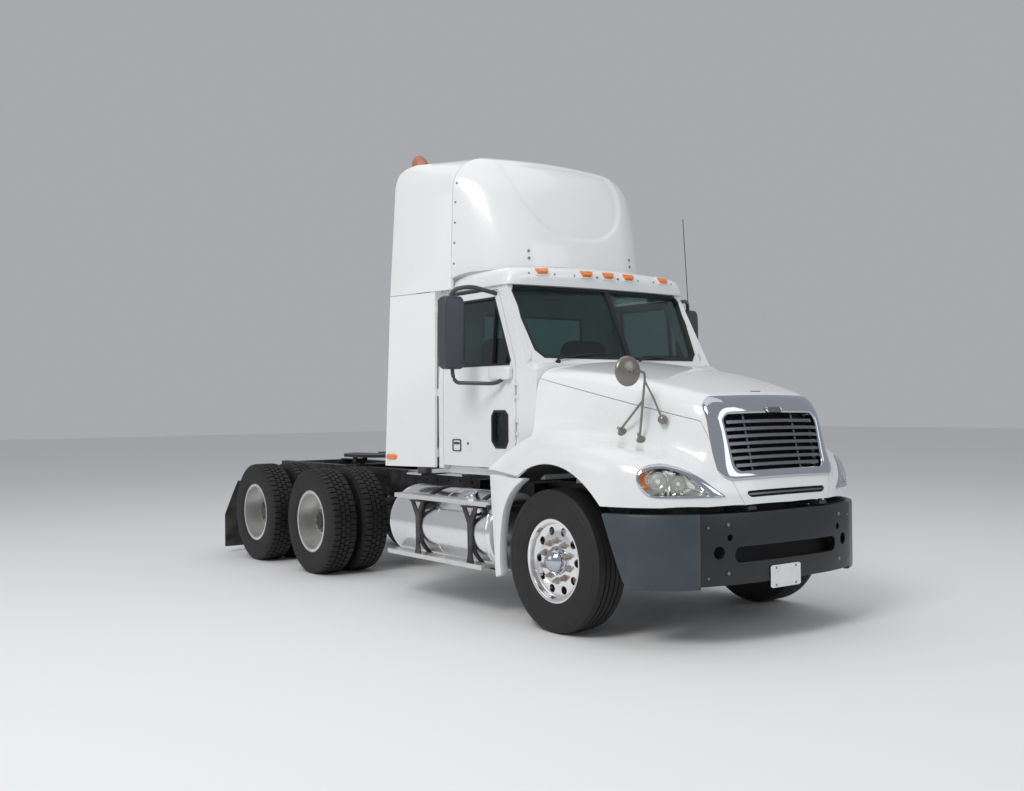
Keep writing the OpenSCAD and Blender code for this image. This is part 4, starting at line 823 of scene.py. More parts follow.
# Skirt under the fairing, down to just above the cap.
edge = np.concatenate([FAIR[:, 0], (FAIR[::-1, 0] * MIRROR)[1:]])
feet = edge * np.array([0.93, 1, 0]) + np.array([0, 25, 2400.0])
low = np.clip(cast(roof_form, feet, UP)[:, 2] + 4, 2676, FAIR_LOW - 6)
rows = np.array([edge + 3 * UP, np.stack([edge[:, 0] * 0.995, edge[:, 1] + 3, low], -1)])
skirt = Shape().grid(rows, back=rows * np.array([0.985, 1, 1]) + 10 * BACK)
skirt.piece("fairing_skirt", "white_paint", "chassis", "white_paint", sharp=40)
EXT_X, EXT_FRONT, EXT_REAR, EXT_LOW, EXT_SPLIT = 990.0, 1510.0, 2280.0, 1105.0, 2580.0


def extender_x(y, rear_x):
    """How far out an extender stands at y, when its rear edge stands at rear_x."""
    return mix(EXT_X, rear_x, (y - EXT_FRONT) / (EXT_REAR - EXT_FRONT))


def extender_shape():
    """The left extender: an upper part that meets the fairing, and a lower part beside the cab's back."""
    t = np.linspace(0, 1, 41)
    z = mix(EXT_SPLIT, FAIR_TOP - 50, t)
    roots = np.stack([0 * z, 0 * z + FAIR_REAR, np.maximum(z, FAIR_LOW)], -1)
    x = np.where(z < FAIR_LOW, EXT_X, np.minimum(EXT_X, cast(fairing_form, roots, ACROSS)[:, 0]))
    front = np.stack([x, 0 * t + EXT_FRONT, z], -1)
    rear = np.stack([1120 - 62 * t, 0 * t + EXT_REAR, mix(EXT_SPLIT, FAIR_TOP - 25, t)], -1)
    rows = mix(front[:, None], rear[:, None], np.linspace(0, 1, 31)[None, :, None])
    # Round the rear top corner by drawing the rows in.
    corner = np.array([(1950, 0), (2080, -8), (2170, -28), (2235, -68), (2268, -125), (2285, -200)])
    limit = FAIR_TOP - 25 + np.interp(rows[..., 1], corner[:, 0], corner[:, 1])
    scale = np.clip((limit - EXT_SPLIT) / (rows[-1, :, 2] - EXT_SPLIT)[None], 0, 1)
    rows[..., 2] = EXT_SPLIT + (rows[..., 2] - EXT_SPLIT) * scale
    s = Shape().grid(rows, back=rows - PANEL * ACROSS)

    def side_x(y, z):
        return extender_x(y, 1182 - 0.042 * (z - EXT_LOW))

    y = np.linspace(1708, EXT_REAR, 9)
    low = np.array([np.stack([side_x(y, z), y, 0 * y + z], -1) for z in (EXT_LOW, 1600, 2100, 2573)])
    s.grid(low, back=low - PANEL * ACROSS)
    for z in (1700, 2400):
        s.box((910, 1700, z), (side_x(1720, z) - 8, 1760, z + 60))
    return s


s = extender_shape().paired()
s.piece("extender_panels", "white_paint", "chassis", "white_paint", ["side_extenders"], 40)
s = Shape()
for sx in (-1, 1):
    for z in (2790, 2960, 3130, 3300, 3460):   # along the fairing's rear edge
        x = cast(fairing_form, [0, 1480, z], ACROSS)[0]
        s.bolt((sx * (x - 3), 1480, z), (sx, -0.3, 0), 9, 7, seg=12)
    for z in (2815, 2875):   # at its front corners
        y = cast(fairing_form, [sx * 549, 1300, z], AHEAD)[1]
        s.bolt((sx * 549, y + 4, z), AHEAD, 13, 9, seg=12)
s.piece("fairing_screws", "mirror_metal", "chassis", "mirror_metal")


# Roof lamps and extender lamps.
def roof_lamp(s, x):
    """A marker lamp on its foot, with a screw on each side."""
    p = cast(roof_form, [x, 1000, 2668], AHEAD)
    n = grad(roof_form, p)
    up = unit(np.cross(n, ACROSS) * -1)
    if up[2] < 0:
        up = -up
    right = np.cross(up, n)

    def on_roof(u, v, w):
        return p + right * u + up * v + n * w

    s.prism([(-56, -34), (56, -34), (74, 34), (-74, 34)], -8, 5, on_roof, 1)
    low = [on_roof(u, v, 4) for u, v in ((-44, -26), (44, -26), (60, 27), (-60, 27))]
    top = [on_roof(u, v, w) for u, v, w in ((-38, -18, 32), (38, -18, 32), (54, 20, 18), (-54, 20, 18))]
    s.put(low + top, [(4, 5, 6, 7), (0, 1, 5, 4), (1, 2, 6, 5), (2, 3, 7, 6), (3, 0, 4, 7)])
    for dx in (-118, 118):
        q = cast(roof_form, [x + dx, 1000, 2650], AHEAD)
        s.bolt(q - 2 * grad(roof_form, q), grad(roof_form, q), 8, 6, 2, 12)


def extender_lamp(s, sx):
    """A domed lamp low at an extender's rear edge."""
    def on_extender(u, v, w):
        return sx * (extender_x(u, 1179) + w), u, v

    ring = hull_ring([(2166, 1183, 22), (2240, 1183, 22)], 40)
    domed(s, ring, (2203, 1183), ((0, -3), (0, 10), (0.3, 20), (0.85, 24)), on_extender)


s = Shape()
for x in (-654, -226, 0, 226, 654):
    roof_lamp(s, x)
for sx in (-1, 1):
    extender_lamp(s, sx)
s.piece("marker_lamp_set", ["amber_lens", "white_paint", "mirror_metal"], "chassis", "amber_lens",
        ["marker_lamps"], 25, 2.0)

# Windows: dark seals round the panes, and the wipers.
PANE_Y, PANE_Z, PANE_SWEEP, PANE_RAKE = 420, 1950, 0.119, 0.5
PANE_N = unit(np.array([-PANE_SWEEP, 1, -PANE_RAKE]))
PANE_SHAPE = [(12, 1975), (790, 1985), (850, 2040), (905, 2500), (880, 2540), (12, 2540)]


def on_pane(x, z, w):
    return np.array([x, PANE_Y + PANE_SWEEP * x + PANE_RAKE * (z - PANE_Z), z]) - w * PANE_N


def frame_strip(s, outline, wide, a, b, to):
    """A flat seal that follows an outline, from wide outside it to the same inside."""
    p = np.array(outline, float)
    d0, d1 = p - np.roll(p, 1, axis=0), np.roll(p, -1, axis=0) - p
    d0, d1 = d0 / np.linalg.norm(d0, axis=1)[:, None], d1 / np.linalg.norm(d1, axis=1)[:, None]
    n = np.stack([d0[:, 1] + d1[:, 1], -d0[:, 0] - d1[:, 0]], -1)
    n /= np.linalg.norm(n, axis=1)[:, None]
    n *= np.where(((p - p.mean(0)) * n).sum(1) > 0, 1, -1)[:, None]
    section = ((1, a), (0.8, b), (-0.8, b), (-1, a))
    s.grid([[to(u, v, w) for u, v in p + e * wide * n] for e, w in section], wrap=True)


s = Shape()
frame_strip(s, PANE_SHAPE, 17, -10, 15, on_pane)
s.prism([(0, 1962), (17, 1962), (17, 2545), (0, 2545)], -12, 17, on_pane)
s = s.paired()
frame_strip(s, [(-560, 1960), (560, 1960), (560, 2400), (-560, 2400)], 18, -4, 5,
            lambda u, v, w: (u, CAB_BACK + w, v))
s.piece("window_seals", "gasket", "chassis", "black_rubber", sharp=25)


def wiper(x0, x1):
    """An arm from its pivot at x0 and a blade that reaches to x1."""
    arm = [(x0, 1945, 16), (x0, 1958, 26), (mix(x0, x1, 0.3), 1982, 28), (mix(x0, x1, 0.6), 2000, 26)]
    blade = [(mix(x0, x1, f), 1992 + 16 * f, 17) for f in np.linspace(0.15, 1.0, 9)]
    s = Shape().tube([on_pane(*q) for q in arm], 7, 10).tube([on_pane(*q) for q in blade], 6, 8)
    pivot = [(0.01, 26), (16, 22), (20, 4), (20, -8)]
    return s.lathe(pivot, on_pane(x0, 1940, 8), -PANE_N, 20, 0, False)


s = wiper(90, 640).join(wiper(690, 140).mirrored())
s.piece("wipers", "gasket", "chassis", "black_rubber", sharp=40)

# Door fittings: seals, the vent pane's bar, the handle and the lock.
WINDOW = [(700, 1960), (960, 2465), (1555, 2465), (1565, 1935), (710, 1935)]
PEEP = [(725, 1340), (755, 1290), (880, 1290), (930, 1340), (930, 1530), (900, 1570), (760, 1570),
        (725, 1540)]


def on_side(u, v, w):
    x = CAB_X if v < BELT else mix(CAB_X, ROOF_X, (v - BELT) / (ROOF_Z - BELT))
    return np.array([x + w, u, v])


s = Shape()
frame_strip(s, WINDOW, 13, -30, 3, on_side)
frame_strip(s, PEEP, 13, -30, 4, on_side)
s.prism([(938, 1940), (952, 1940), (952, 2450), (938, 2450)], -34, 0, on_side)
cup = ((0, -2), (0, 6), (0.14, 7), (0.2, -14), (0.9, -16))
domed(s, round_box((1378, 1478), (1258, 1332), 12, 40), (1428, 1295), cup, on_side)
s.prism([(1392, 1304), (1464, 1304), (1464, 1320), (1392, 1320)], -12, 7, on_side)
plate = ((0, -2), (0, 3), (0.1, 4), (0.9, 4))
domed(s, round_box((1243, 1277), (1262, 1328), 7, 40), (1260, 1295), plate, on_side, 1)
s.lathe([(0.01, 7), (10, 6), (12, 0)], on_side(1260, 1312, 4), ACROSS, 20, 2, False)
for side, shape in (("left", s), ("right", s.mirrored())):
    shape.piece("door_fittings_" + side, ["gasket", "white_paint", "mirror_metal"], side + "_door",
                "black_rubber", sharp=25)


# Door mirrors: a moulded housing, tube arms and the glass behind.
def rounded_box(s, a, b, power, m=0, n=32, k=24):
    """A soft-cornered closed form between two corners."""
    a, b = np.asarray(a, float), np.asarray(b, float)
    u, v = np.linspace(-math.pi, math.pi, n, endpoint=False), np.linspace(-math.pi / 2, math.pi / 2, k)

    def soft(t):
        return np.sign(t) * np.abs(t) ** power

    rows = [np.stack([soft(np.cos(q)) * soft(np.cos(u)), soft(np.cos(q)) * soft(np.sin(u)),
                      0 * u + soft(np.sin(q))], -1) for q in v]
    return s.grid((a + b) / 2 + np.array(rows) * (b - a) / 2, m, wrap=True)


def bend(p, q, r):
    """A curved stretch from p to r, drawn towards q."""
    p, q, r = np.array([p, q, r])
    return [p * (1 - t) ** 2 + 2 * t * (1 - t) * q + t * t * r for t in np.linspace(0, 1, 9)]


def mirror_shape(aerial):
    """The left door's mirror with its foot, with or without a thin whip aerial."""
    s = rounded_box(Shape(), (1192, 1000, 1900), (1386, 1122, 2470), 0.3, 0, 48, 40)
    s.prism([(1206, 1925), (1372, 1925), (1372, 2445), (1206, 2445)], 1122, 1125, facing, 1)
    upper = bend((1290, 1050, 2460), (1290, 1050, 2512), (1250, 1018, 2528))
    upper += bend((1240, 1010, 2530), (1180, 960, 2546), (1110, 953, 2532))[1:] + [(924, 937, 2494)]
    lower = bend((1290, 1050, 1910), (1290, 1050, 1796), (1250, 1010, 1794))
    lower += bend((1090, 850, 1786), (1040, 770, 1784), (1026, 740, 1830))
    s.tube(upper, 17, 16).tube(lower, 15, 16)
    rounded_box(s, (996, 650, 1812), (1046, 925, 1915), 0.3, 2)
    if aerial:
        s.tube([(1250, 1000, 2440), (1250, 1025, 2800), (1250, 1060, 3300)], 4, 8)
    return s


for side, shape in (("left", mirror_shape(True)), ("right", mirror_shape(False).mirrored())):
    shape.piece("side_mirror_" + side, ["mirror_plastic", "mirror_face", "white_paint"], side + "_door",
                "mirror_plastic", ["mirror_" + side], 45)


# Cowl corners: the foot of each windshield pillar runs forward into the cowl.
def smooth_line(points, n):
    """A curve through a few points."""
    p, t = np.array(points, float), np.linspace(0, 1, len(points))
    k = np.linspace(0, 1, n)
    return np.stack([np.polyval(np.polyfit(t, p[:, i], len(p) - 1), k) for i in range(3)], -1)


rim = smooth_line([(997, 358, 1868), (996, 425, 1884), (993.5, 483, 1921),
                   (988.5, 528, 1980), (982, 557, 2048)], 25)
inner = smooth_line([(800, 358, 1931.5), (848, 432, 1931.5), (897, 505, 1934),
                     (914, 530, 1978), (917, 557, 2048)], 25)
outer = smooth_line([(996.5, 358, 1866), (996, 425, 1872), (994, 497, 1890),
                     (986.5, 534, 1980), (982, 560, 2048)], 25)
rows = []
for f in np.linspace(0, 1, 9):
    row = mix(rim, inner, f)
    row[:, 2] = mix(rim[:, 2], inner[:, 2], math.sin(f * math.pi / 2))
    rows.append(row)
s = Shape().grid(rows).grid([outer, rim])
s.cap([r[0] for r in rows] + [(800, 358, 1886), (938, 358, 1784), (996.5, 358, 1784)])
s.paired().piece("cowl_corners", "white_paint", "chassis", "white_paint", sharp=50)

# Fender mirror on the right: a mast, two braces and a dished round head.
s = Shape()
feet = [cast(hood_form, [x, y, 900], UP) for x, y in ((-811, -370), (-781, -530))]
dome = cast(hood_form, [0, -669, 1504], -ACROSS)
mast = np.array([-822, -620, 1800.0])
head = np.array([-968, -622, 1838.0])
knee = feet[1] + (mast - feet[1]) * 0.64
for p, end in zip(feet, (knee, mast)):
    n = grad(hood_form, p)
    root = p + 30 * n
    s.lathe([(0.01, 70), (10, 68), (12, 50), (15, 30), (30, 8), (34, 0)], p, n, 28, 0, False)
    s.tube([root, root * 0.55 + end * 0.45, end], 8, 12)
n = grad(hood_form, dome)
DOME_R = 34
ball = [(DOME_R * math.cos(a), DOME_R + DOME_R * math.sin(a)) for a in np.linspace(-1.4, 1.57, 14)]
s.lathe(ball, dome, n, 28, 0, False)
s.tube([dome + 40 * n, (dome + 40 * n + mast) / 2, mast - 30 * UP], 7, 12)
s.tube([mast - 6 * UP, mast + np.array([-8, 0, 26.0]), mast + np.array([-46, 0, 38.0]),
        head + np.array([20, -20, 0])], 9, 14)
axis = unit(np.array([-0.1, -0.99, 0.0]))
s.lathe([(0.01, 20), (26, 19), (60, 12), (92, -2), (103, -14), (104, -22), (98, -24)],
        head, axis, 56, 0, False)
s.lathe([(0.01, -21), (98, -22)], head, axis, 56, 1, False)
s.bolt(head + 18 * axis, axis, 13, 14, 0, 12)
s.piece("hood_mirror", ["mirror_metal", "mirror_face"], "hood", "mirror_metal", ["fender_mirror"], 40)

# Bumper.
BUMPER_X, BUMPER_TOP, BUMPER_WALL = 1196, 890, 44


def bumper_y(x):
    """The bumper's outline in plan, a little fuller than the fenders'."""
    return PLAN_START - PLAN_DEPTH * np.maximum(0, 1 - (np.abs(x) / BUMPER_X) ** 2.9) ** (1 / 2.9)


def bumper_strip(x, low, roll):
    """A strip of the bumper, with edges rolled in."""
    high, wall = BUMPER_TOP, BUMPER_WALL
    y = bumper_y(x)
    t = np.stack([np.gradient(x), np.gradient(y)], -1)
    t /= np.linalg.norm(t, axis=1)[:, None]
    n = np.stack([t[:, 1], -t[:, 0]], -1)
    n *= np.where(n[:, 1] > 0, -1, 1)[:, None]
    section = [(-wall, low), (-roll, low), (-roll * 0.3, low + roll * 0.3), (0, low + roll), (0, high - roll),
               (-roll * 0.3, high - roll * 0.3), (-roll, high), (-wall, high)]
    rows = [np.stack([x + d * n[:, 0], y + d * n[:, 1], 0 * x + z], -1) for d, z in section]
    s = Shape().grid(np.array(rows + rows[:1]))
    s.cap([r[0] for r in rows])
    s.put([r[-1] for r in rows], [tuple(range(len(rows)))[::-1]])
    return s


def on_plate(u, v, w):
    return u - 58, -NOSE + 4 - w, 443 + v


center = bumper_strip(np.linspace(-768, 768, 97), 415, 12)
for x in (-388, 388):
    center.box((x - 44, -1126, 690), (x + 44, -962, 880))
o = center.piece("bumper_middle", "bumper_dark", "chassis", "bumper_dark", ["bumper_center"], 32)
cut = Shape().prism(round_box((-475, 475), (605, 620), 45, 60), -1300, -1000, facing)
for x, z, r in ((640, 634, 42), (-640, 634, 42), (558, 729, 22), (-558, 729, 22)):
    cut.lathe([(0.01, -160), (r, -160), (r, 160), (0.01, 160)], (x, -1060, z), BACK, 32, 0, False)
carve(o, cut)
x = 770 + 425 * np.sin(np.radians(np.linspace(0, 90, 60)))
x[-1] = 1194.9   # short of where the strip would turn straight back
ends = bumper_strip(x, 395, 14).paired()
o = ends.piece("bumper_corners", "bumper_grey", "chassis", "bumper_grey", ["bumper_ends"], 32)
END_CUT = [(-560, BUMPER_TOP), (-344, 1490), (800, 1500), (800, 380),
           (-850, 388), (-790, 396), (-745, 412), (-722, 440), (-711, 470)]
cut = Shape()
for sx in (-1, 1):
    cut.prism(END_CUT, sx * 560, sx * 1400, sideways)
carve(o, cut)
# Black plates behind the bumper's opening and under the hood's edge: painted shade that hides the floor seen
# through those gaps.
s = Shape().box((-690, -1040, 430), (690, -1034, 690))
s.box((440, -985, 700), (840, -980, 888)).box((-840, -985, 700), (-440, -980, 888))
s.piece("bumper_shade_plates", "screen", "chassis", "bumper_dark")
s = Shape()
for sx in (-1, 1):
    for x, z, r in ((573, 816, 13), (573, 496, 13), (720, 800, 9), (720, 470, 9)):
        s.bolt((sx * x, float(bumper_y(np.array(x))) + 3, z), AHEAD, r, 9, 0, 16)
s.piece("bumper_bolts", "mirror_metal", "chassis", "mirror_metal")
s = Shape().prism(round_box((-144, 144), (-68, 68), 8, 40), 0.5, 4, on_plate)
for u in (-100, 100):
    for v in (-58, 58):
        s.bolt(on_plate(u, v, 3), AHEAD, 8, 5, 1, 12)
s.piece("blank_plate", ["plate_white", "mirror_metal"], "chassis", "bumper_dark", sharp=25)


# Tyres and rims.
def tyre_profile(w, grooves):
    """(radius, across, row): row is the tread row that a point belongs to, or -1."""
    h, b, rim = w / 2, 286.0, 117.0
    crown = h - 44
    side = [(b + 0.3, rim - 13), (b + 13.3, rim - 11), (b + 13.3, h - 18), (b + 24, h - 10), (330, h - 6),
            (333, h - 3.5), (345, h - 3), (390, h), (430, h - 1), (449, h - 4), (452, h - 2), (462, h - 3),
            (466, h - 7), (480, h - 10)]
    edges = [-crown] + [g for c, gw in grooves for g in (c - gw / 2, c + gw / 2)] + [crown]

    def top(x):
        return TYRE_R - 5 * (x / crown) ** 4 * 0.2

    def shoulder(sign, k):
        return [(TYRE_R - 6, sign * (h - 24), k), (TYRE_R - 18, sign * (h - 17), -1)]

    tread = []
    for k in range(len(grooves) + 1):
        a, c = edges[2 * k], edges[2 * k + 1]
        tread += shoulder(-1, k)[::-1] if k == 0 else [(TYRE_R - 13, a, -1)]
        tread += [(top(a), a + 1, k), (top(c), c - 1, k)]
        tread += shoulder(1, k) if k == len(grooves) else [(TYRE_R - 13, c, -1)]
    return [(r, -x, -1) for r, x in side] + tread + [(r, x, -1) for r, x in side[::-1]]


def tyre_shape(center_x, w, grooves, blocks=0, phases=(), depth=0):
    """A tyre at the front axle; blocks notches, each depth deep, cut every tread row at its own phase."""
    turn, part = np.arange(120) / 120, None
    if blocks:
        f = np.array([0, 0.15, 0.18, 0.47, 0.5, 0.65, 0.68, 0.97])
        turn = ((np.arange(blocks)[:, None] + f) / blocks).ravel()
        part = np.tile(f, blocks)
    a = turn * 2 * math.pi
    rows = []
    for r, x, row in tyre_profile(w, grooves):
        radius = r + 0 * a
        if blocks and row >= 0:
            radius = np.where(((part - phases[row]) % 1.0) < 0.16, r - depth, r)
        rows.append(np.stack([0 * a + center_x + x, radius * np.cos(a), TYRE_R + radius * np.sin(a)], -1))
    return Shape().grid(np.array(rows + rows[:1]), wrap=True)


STEER_X, DRIVE_X, TWIN, BLOCKS = 1030.0, 1067.0, 340.0, 54
RIBS = [(-62, 9), (-22, 9), (22, 9), (62, 9)]
LUGS = [(-48, 10), (0, 8), (48, 10)]
STUDS, STUD_R, HOLE_R = 10, 142.9, 215
FRONT_RIM = [(270, -117), (299, -117), (299, -107), (286, -104), (286, 104), (299, 107), (299, 117),
             (290, 118), (272, 112), (268, 84), (262, 74), (248, 69), (200, 71), (176, 75), (110, 75),
             (91, 75), (91, 51), (180, 51), (250, 48), (268, 40)]
OUTER_RIM = [(270, 117), (290, 118), (299, 117), (299, 107), (286, 104), (286, -104), (299, -107),
             (299, -117), (276, -117), (262, -160), (244, -170), (91, -170), (91, -148), (236, -148),
             (248, -140), (262, -112), (268, -80)]
INNER_RIM = [(r, -x) for r, x in OUTER_RIM]
HUB_CAP = [(104, 72), (102, 84), (92, 90), (86, 112), (82, 118), (60, 146), (30, 160), (0.01, 164)]
DRIVE_HUB = [(98, 20), (98, 120), (92, 126), (92, 150), (112, 152), (112, 172), (104, 176), (60, 178),
             (56, 190), (0.01, 190)]
DRUM = [(165, -22), (165, -46), (100, -60), (100, -249), (60, -249)]


def round_wheel(x, r, n, start=0.0):
    """Even places round the wheel's middle."""
    turns = [2 * math.pi * (k + start) / n for k in range(n)]
    return [(x, r * math.cos(t), TYRE_R + r * math.sin(t)) for t in turns]


def holes(x, a, b):
    """Cutters for a rim's hand holes."""
    s = Shape()
    for p in round_wheel(x, HOLE_R, STUDS):
        s.lathe([(0.01, a), (30, a), (30, b), (0.01, b)], p, ACROSS, 28, 0, False)
    return s


def nuts(s, x, h):
    """Wheel nuts, each with its washer and its stud's end."""
    for p in round_wheel(x, STUD_R, STUDS, 0.5):
        s.lathe([(0.01, 6), (25, 6), (26, 0)], p, ACROSS, 20, 0, False)
        s.bolt(p, ACROSS, 20, h)
        s.lathe([(16, h), (15, h + 8), (9, h + 22), (0.01, h + 26)], p, ACROSS, 16, 0, False)


def place_wheel(name, shapes, dy, right, body, nodes, look):
    """Puts a tyre, a rim, its holes and a hub in place; they are drawn on the left at the front axle."""
    shapes = [shape.shifted(dy) for shape in shapes]
    tyre, rim, cuts, hub = [shape.mirrored() for shape in shapes] if right else shapes
    tyre.piece(name + "_tyre", "tyre", body, "tyre", [nodes[0]], 30)
    o = rim.piece(name + "_rim", look, body, "polished_aluminium", [nodes[1]], 40)
    carve(o, cuts)
    hub.piece(name + "_hub", ["rusty_nut", "chrome", "cast_parts"], body, "polished_aluminium", sharp=35)


middle = (STEER_X, 0, TYRE_R)
tyre = tyre_shape(STEER_X, 286, RIBS)
rim = Shape().lathe(FRONT_RIM, middle, ACROSS, 112)
hub = Shape()
nuts(hub, STEER_X + 75, 26)
hub.lathe(HUB_CAP, middle, ACROSS, 56, 1, False)
hub.lathe([(92, 50), (100, -58), (60, -58)], middle, ACROSS, 40, 2, False)
parts = (tyre, rim, holes(STEER_X, 30, 100), hub)
for side in ("left", "right"):
    place_wheel(f"front_wheel_{side}", parts, 0, side == "right", f"front_{side}_wheel",
                (f"steer_tyre_{side}", f"steer_rim_{side}"), "polished_aluminium")
mid_x = DRIVE_X - TWIN / 2
middle = (mid_x, 0, TYRE_R)
tyre = tyre_shape(DRIVE_X, 276, LUGS, BLOCKS, (0, 0.5, 0, 0.5), 13)
tyre.join(tyre_shape(DRIVE_X - TWIN, 276, LUGS, BLOCKS, (0.5, 0, 0.5, 0), 13))
rim = Shape().lathe(OUTER_RIM, (DRIVE_X, 0, TYRE_R), ACROSS, 96)
rim.lathe(INNER_RIM, (DRIVE_X - TWIN, 0, TYRE_R), ACROSS, 96)
hub = Shape()
nuts(hub, mid_x + 22, 28)
hub.lathe(DRIVE_HUB, middle, ACROSS, 48, 2, False)
for p in round_wheel(mid_x + 172, 92, 8):
    hub.bolt(p, ACROSS, 10, 14)
hub.lathe(DRUM, middle, ACROSS, 40, 2, False)
parts = (tyre, rim, holes(mid_x, -40, 40), hub)
for axle in (1, 2):
    for side in ("left", "right"):
        name = f"drive_wheels_{axle}_{side}"
        place_wheel(name, parts, DRIVE_Y[axle - 1], side == "right", name,
                    (f"drive_tyres_{axle}_{side}", f"drive_rims_{axle}_{side}"), "brushed_aluminium")

# Seats: foam cushions on a base.
s = Shape()
for x in (-430, 430):
    rounded_box(s, (x - 250, 1050, 1420), (x + 250, 1550, 1550), 0.38)
    rounded_box(s, (x - 250, 1450, 1545), (x + 250, 1570, 2190), 0.38)
    for side in (-1, 1):
        rounded_box(s, (x + side * 190 - 55, 1050, 1440), (x + side * 190 + 55, 1500, 1562), 0.45)
    s.box((x - 180, 1150, 1120), (x + 180, 1480, 1425), 1)
o = s.piece("seat_cushions", ["seat_cloth", "dash_plastic"], "chassis", "seat_cloth", ["seats"], 40)

# Tanks with their straps, steps and caps.
TANK_X, TANK_Z, TANK_R, TANK_FRONT, TANK_LENGTH = 872.0, 626.0, 308.0, 725.0, 1550.0
TANK_END = [(0.01, 0), (150, 3), (245, 12), (290, 30), (305, 52), (TANK_R, 70)]
FORK = [(-26, 470), (26, 470), (30, 700), (110, 838), (60, 838), (0, 745), (-60, 838), (-110, 838),
        (-30, 700)]
FORK_FOOT = [(-50, 375), (50, 375), (26, 470), (-26, 470)]


def steps(s, x0, x1, y0, y1, z):
    """A step plate with a raised pattern on top."""
    s.box((x0, y0, z - 25), (x1, y1, z - 2))
    s.box((x1 - 4, y0, z - 38), (x1, y1, z - 25))
    for i, x in enumerate(np.arange(x0 + 14, x1 - 8, 21)):
        for k, y in enumerate(np.arange(y0 + 16, y1 - 14, 34)):
            d = 1 if (i + k) % 2 else -1
            c = np.array([x, y, z - 2.5])
            s.cap([c + (-10, -10 * d, 0), c + (3, -3 * d, 2.5), c + (10, 10 * d, 0), c + (-3, 3 * d, 2.5)])


tank, strap, step = Shape(), Shape(), Shape()
profile = TANK_END + [(TANK_R, TANK_LENGTH - 70)] + [(r, TANK_LENGTH - h) for r, h in TANK_END[-2::-1]]
tank.lathe(profile, (TANK_X, TANK_FRONT, TANK_Z), BACK, 96, 0, False)
weld = [(TANK_R, -7), (TANK_R + 2.5, -3), (TANK_R + 2.5, 3), (TANK_R, 7)]
for y in (800, 1490, 2200):
    tank.lathe(weld, (TANK_X, y, TANK_Z), BACK, 96, 0, False)
lean = math.radians(28)   # of the filler neck
d = np.array([math.sin(lean), 0, math.cos(lean)])
c = np.array([TANK_X + 160, 945, TANK_Z]) + d * 348
tank.lathe([(48, -150), (48, -18)], c, d, 40, 0, False)
tank.lathe([(0.01, 14), (40, 14), (50, 10), (56, 2), (56, -16), (48, -18)], c, d, 40, 1, False)
band = [(TANK_R + 1, -24), (TANK_R + 9, -24), (TANK_R + 9, 24), (TANK_R + 1, 24)]
for y in (973, 1738):
    strap.lathe(band, (TANK_X, y, TANK_Z), BACK, 80)
    for outline in (FORK, FORK_FOOT):
        strap.prism([(y + dy, z) for dy, z in outline], 1184, 1196, sideways)
    strap.box((1096, y - 110, 826), (1206, y + 110, 835))
    strap.box((1098, y - 60, 364), (1208, y + 60, 375))
    strap.box((441, y - 30, 780), (TANK_X - 292, y + 30, 980))
steps(step, 1090, 1212, 730, 2080, 885)
steps(step, 1092, 1214, 790, 2200, 400)
for name, looks, shape, slot, node in (
        ("tank_drums", ["polished_aluminium", "chrome"], tank, "polished_aluminium", "fuel_tanks"),
        ("tank_bands", "frame_paint", strap, "frame_paint", "tank_straps"),
        ("step_plates", "brushed_aluminium", step, "polished_aluminium", "tank_steps")):
    shape.paired().piece(name, looks, "chassis", slot, [node], 30)

# Exhaust stack with a rusty tip.
STACK_X, STACK_Y, STACK_R, MUFFLER_R, TIP_Z, TIP_BEND = -880, 2120, 63, 125, 3600, 110
MUFFLER = [(STACK_R, 1225), (90, 1232), (118, 1246), (MUFFLER_R, 1264), (MUFFLER_R, 2386), (118, 2404),
           (90, 2418), (STACK_R, 2425)]
s = Shape().tube([(STACK_X, STACK_Y, z) for z in np.linspace(1036, TIP_Z, 12)], STACK_R, 36)
tip = [(STACK_X, STACK_Y, TIP_Z), (STACK_X, STACK_Y, TIP_Z + 40)]
tip += [(STACK_X, STACK_Y + TIP_BEND - TIP_BEND * math.cos(q), TIP_Z + 65 + TIP_BEND * math.sin(q))
        for q in np.radians(np.linspace(0, 64, 17))]
s.tube(tip, STACK_R + 1, 36, 1)
s.lathe(MUFFLER, (STACK_X, STACK_Y, 0), UP, 56, 0, False)
for z in (1330, 1830, 2330):
    hoop = [(MUFFLER_R, z - 16), (MUFFLER_R + 4, z - 14), (MUFFLER_R + 4, z + 14), (MUFFLER_R, z + 16)]
    s.lathe(hoop, (STACK_X, STACK_Y, 0), UP, 56, 0, False)
s.piece("stack_pipe", ["stack_steel", "rust"], "chassis", "stack_steel", ["exhaust_stack"], 40)

# Panels behind the steered wheels.
outline = loop([(312, 1078), (404, 1018), (490, 940), (552, 840), (586, 720), (603, 600), (607, 510),
                (606, 430), (598, 345), (632, 336), (666, 338), (684, 560), (706, 800), (728, 1060),
                (716, 1092), (600, 1088), (450, 1078)], 120)
s = Shape().prism(outline, 1100, 1172, sideways)
s.box((432, 655, 800), (1102, 687, 850), 1)
s.paired().piece("wheel_back_panels", ["white_paint", "frame_paint"], "chassis", "white_paint",
                 ["fender_panels"], 40, 12)

# Bolts along the frame rails.
s = Shape()
for sx in (-1, 1):
    for y in np.arange(-800, 5900, 190):
        for z in (800, 930):
            s.bolt((sx * 432, y, z), (sx, 0, 0), 12, 10)
s.piece("frame_bolts", "frame_paint", "chassis", "frame_paint")

# Floor, light and camera.
FLOOR = 60   # metres to each side
me = bpy.data.meshes.new("floor")
corners = [(-FLOOR, -FLOOR, 0), (FLOOR, -FLOOR, 0), (FLOOR, FLOOR, 0), (-FLOOR, FLOOR, 0)]
me.from_pydata(corners, [], [(0, 1, 2, 3)])
floor = bpy.data.objects.new("floor", me)
bpy.context.scene.collection.objects.link(floor)
material("floor", (0.86, 0.865, 0.87), 0.7, grain=(30, 0.02))
me.materials.append(MATS["floor"])


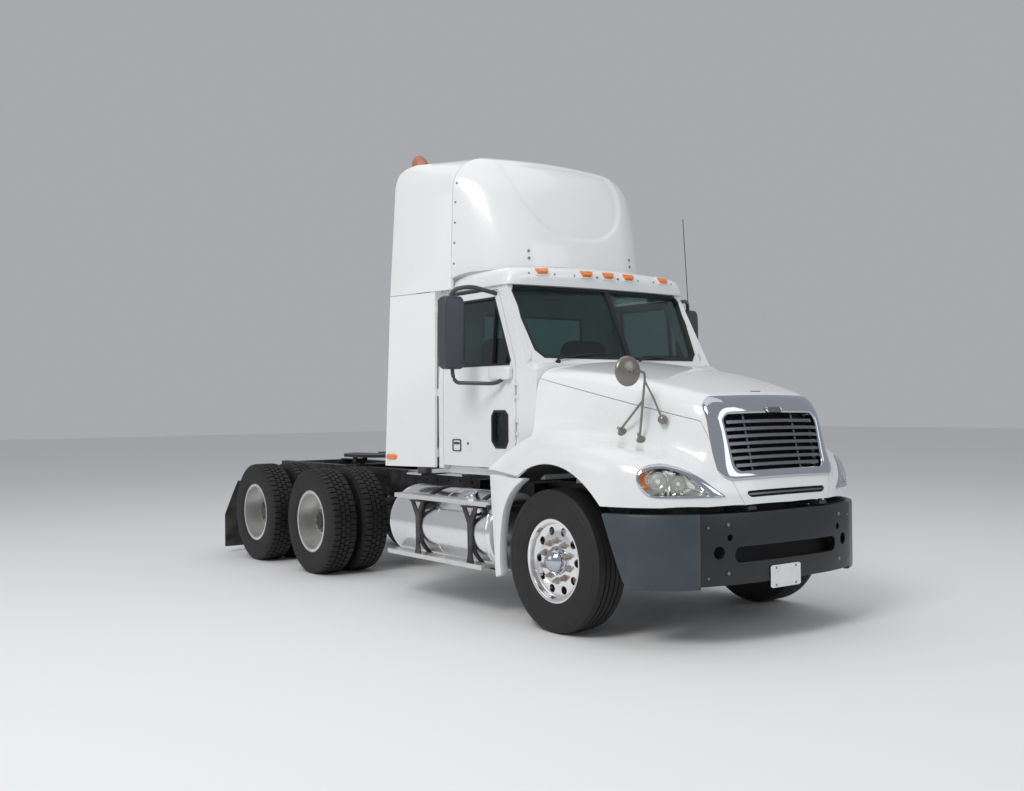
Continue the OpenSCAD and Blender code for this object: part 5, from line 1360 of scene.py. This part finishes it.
def area(name, at, aim, size, power, color=(1, 1, 1)):
    """A soft light that points at a place."""
    d = bpy.data.lights.new(name, "AREA")
    d.shape, d.size, d.size_y = "RECTANGLE", size[0], size[1]
    d.energy, d.color = power, color
    o = bpy.data.objects.new(name, d)
    o.location = at
    o.rotation_mode = "QUATERNION"
    o.rotation_quaternion = (Vector(aim) - Vector(at)).to_track_quat("-Z", "Y")
    bpy.context.scene.collection.objects.link(o)


area("key", (-11, -6, 11), (0, 0, 1.5), (5, 5), 950, (1.0, 0.985, 0.96))
area("front", (4, -13, 6), (0, -2, 1.2), (7, 5), 170, (0.95, 0.98, 1.0))
area("side", (-13, 5, 5), (0, 1, 1.2), (8, 5), 110)
area("top", (0, 0, 12), (0, 0, 0), (12, 14), 330)
world = bpy.data.worlds.new("studio")
bpy.context.scene.world = world
world.use_nodes = True
world.node_tree.nodes["Background"].inputs["Color"].default_value = (0.93, 0.95, 1.0, 1)
world.node_tree.nodes["Background"].inputs["Strength"].default_value = 0.42
bpy.context.scene.view_settings.view_transform = "Standard"

camera_data = bpy.data.cameras.new("camera")
camera_data.sensor_fit, camera_data.sensor_width, camera_data.lens = "HORIZONTAL", 36.0, 39.41
camera_data.clip_end = 300
o = bpy.data.objects.new("camera", camera_data)
bpy.context.scene.collection.objects.link(o)
bpy.context.scene.camera = o
CAMERA_X, CAMERA_Y, CAMERA_Z = -6.092, -6.2235, 1.6023   # metres, y from the front axle
YAW, PITCH, ROLL = math.radians(36.469), math.radians(0.591), math.radians(-0.54)
ahead = Vector((math.sin(YAW) * math.cos(PITCH), math.cos(YAW) * math.cos(PITCH), math.sin(PITCH)))
right = Vector((math.cos(YAW), -math.sin(YAW), 0))
up = right.cross(ahead)
right_rolled = right * math.cos(ROLL) + up * math.sin(ROLL)
up_rolled = -right * math.sin(ROLL) + up * math.cos(ROLL)
turn = Matrix((right_rolled, up_rolled, -ahead)).transposed().to_4x4()
o.matrix_world = Matrix.Translation((CAMERA_X, CAMERA_Y + Y0 / 1000, CAMERA_Z)) @ turn

bpy.context.view_layer.update()
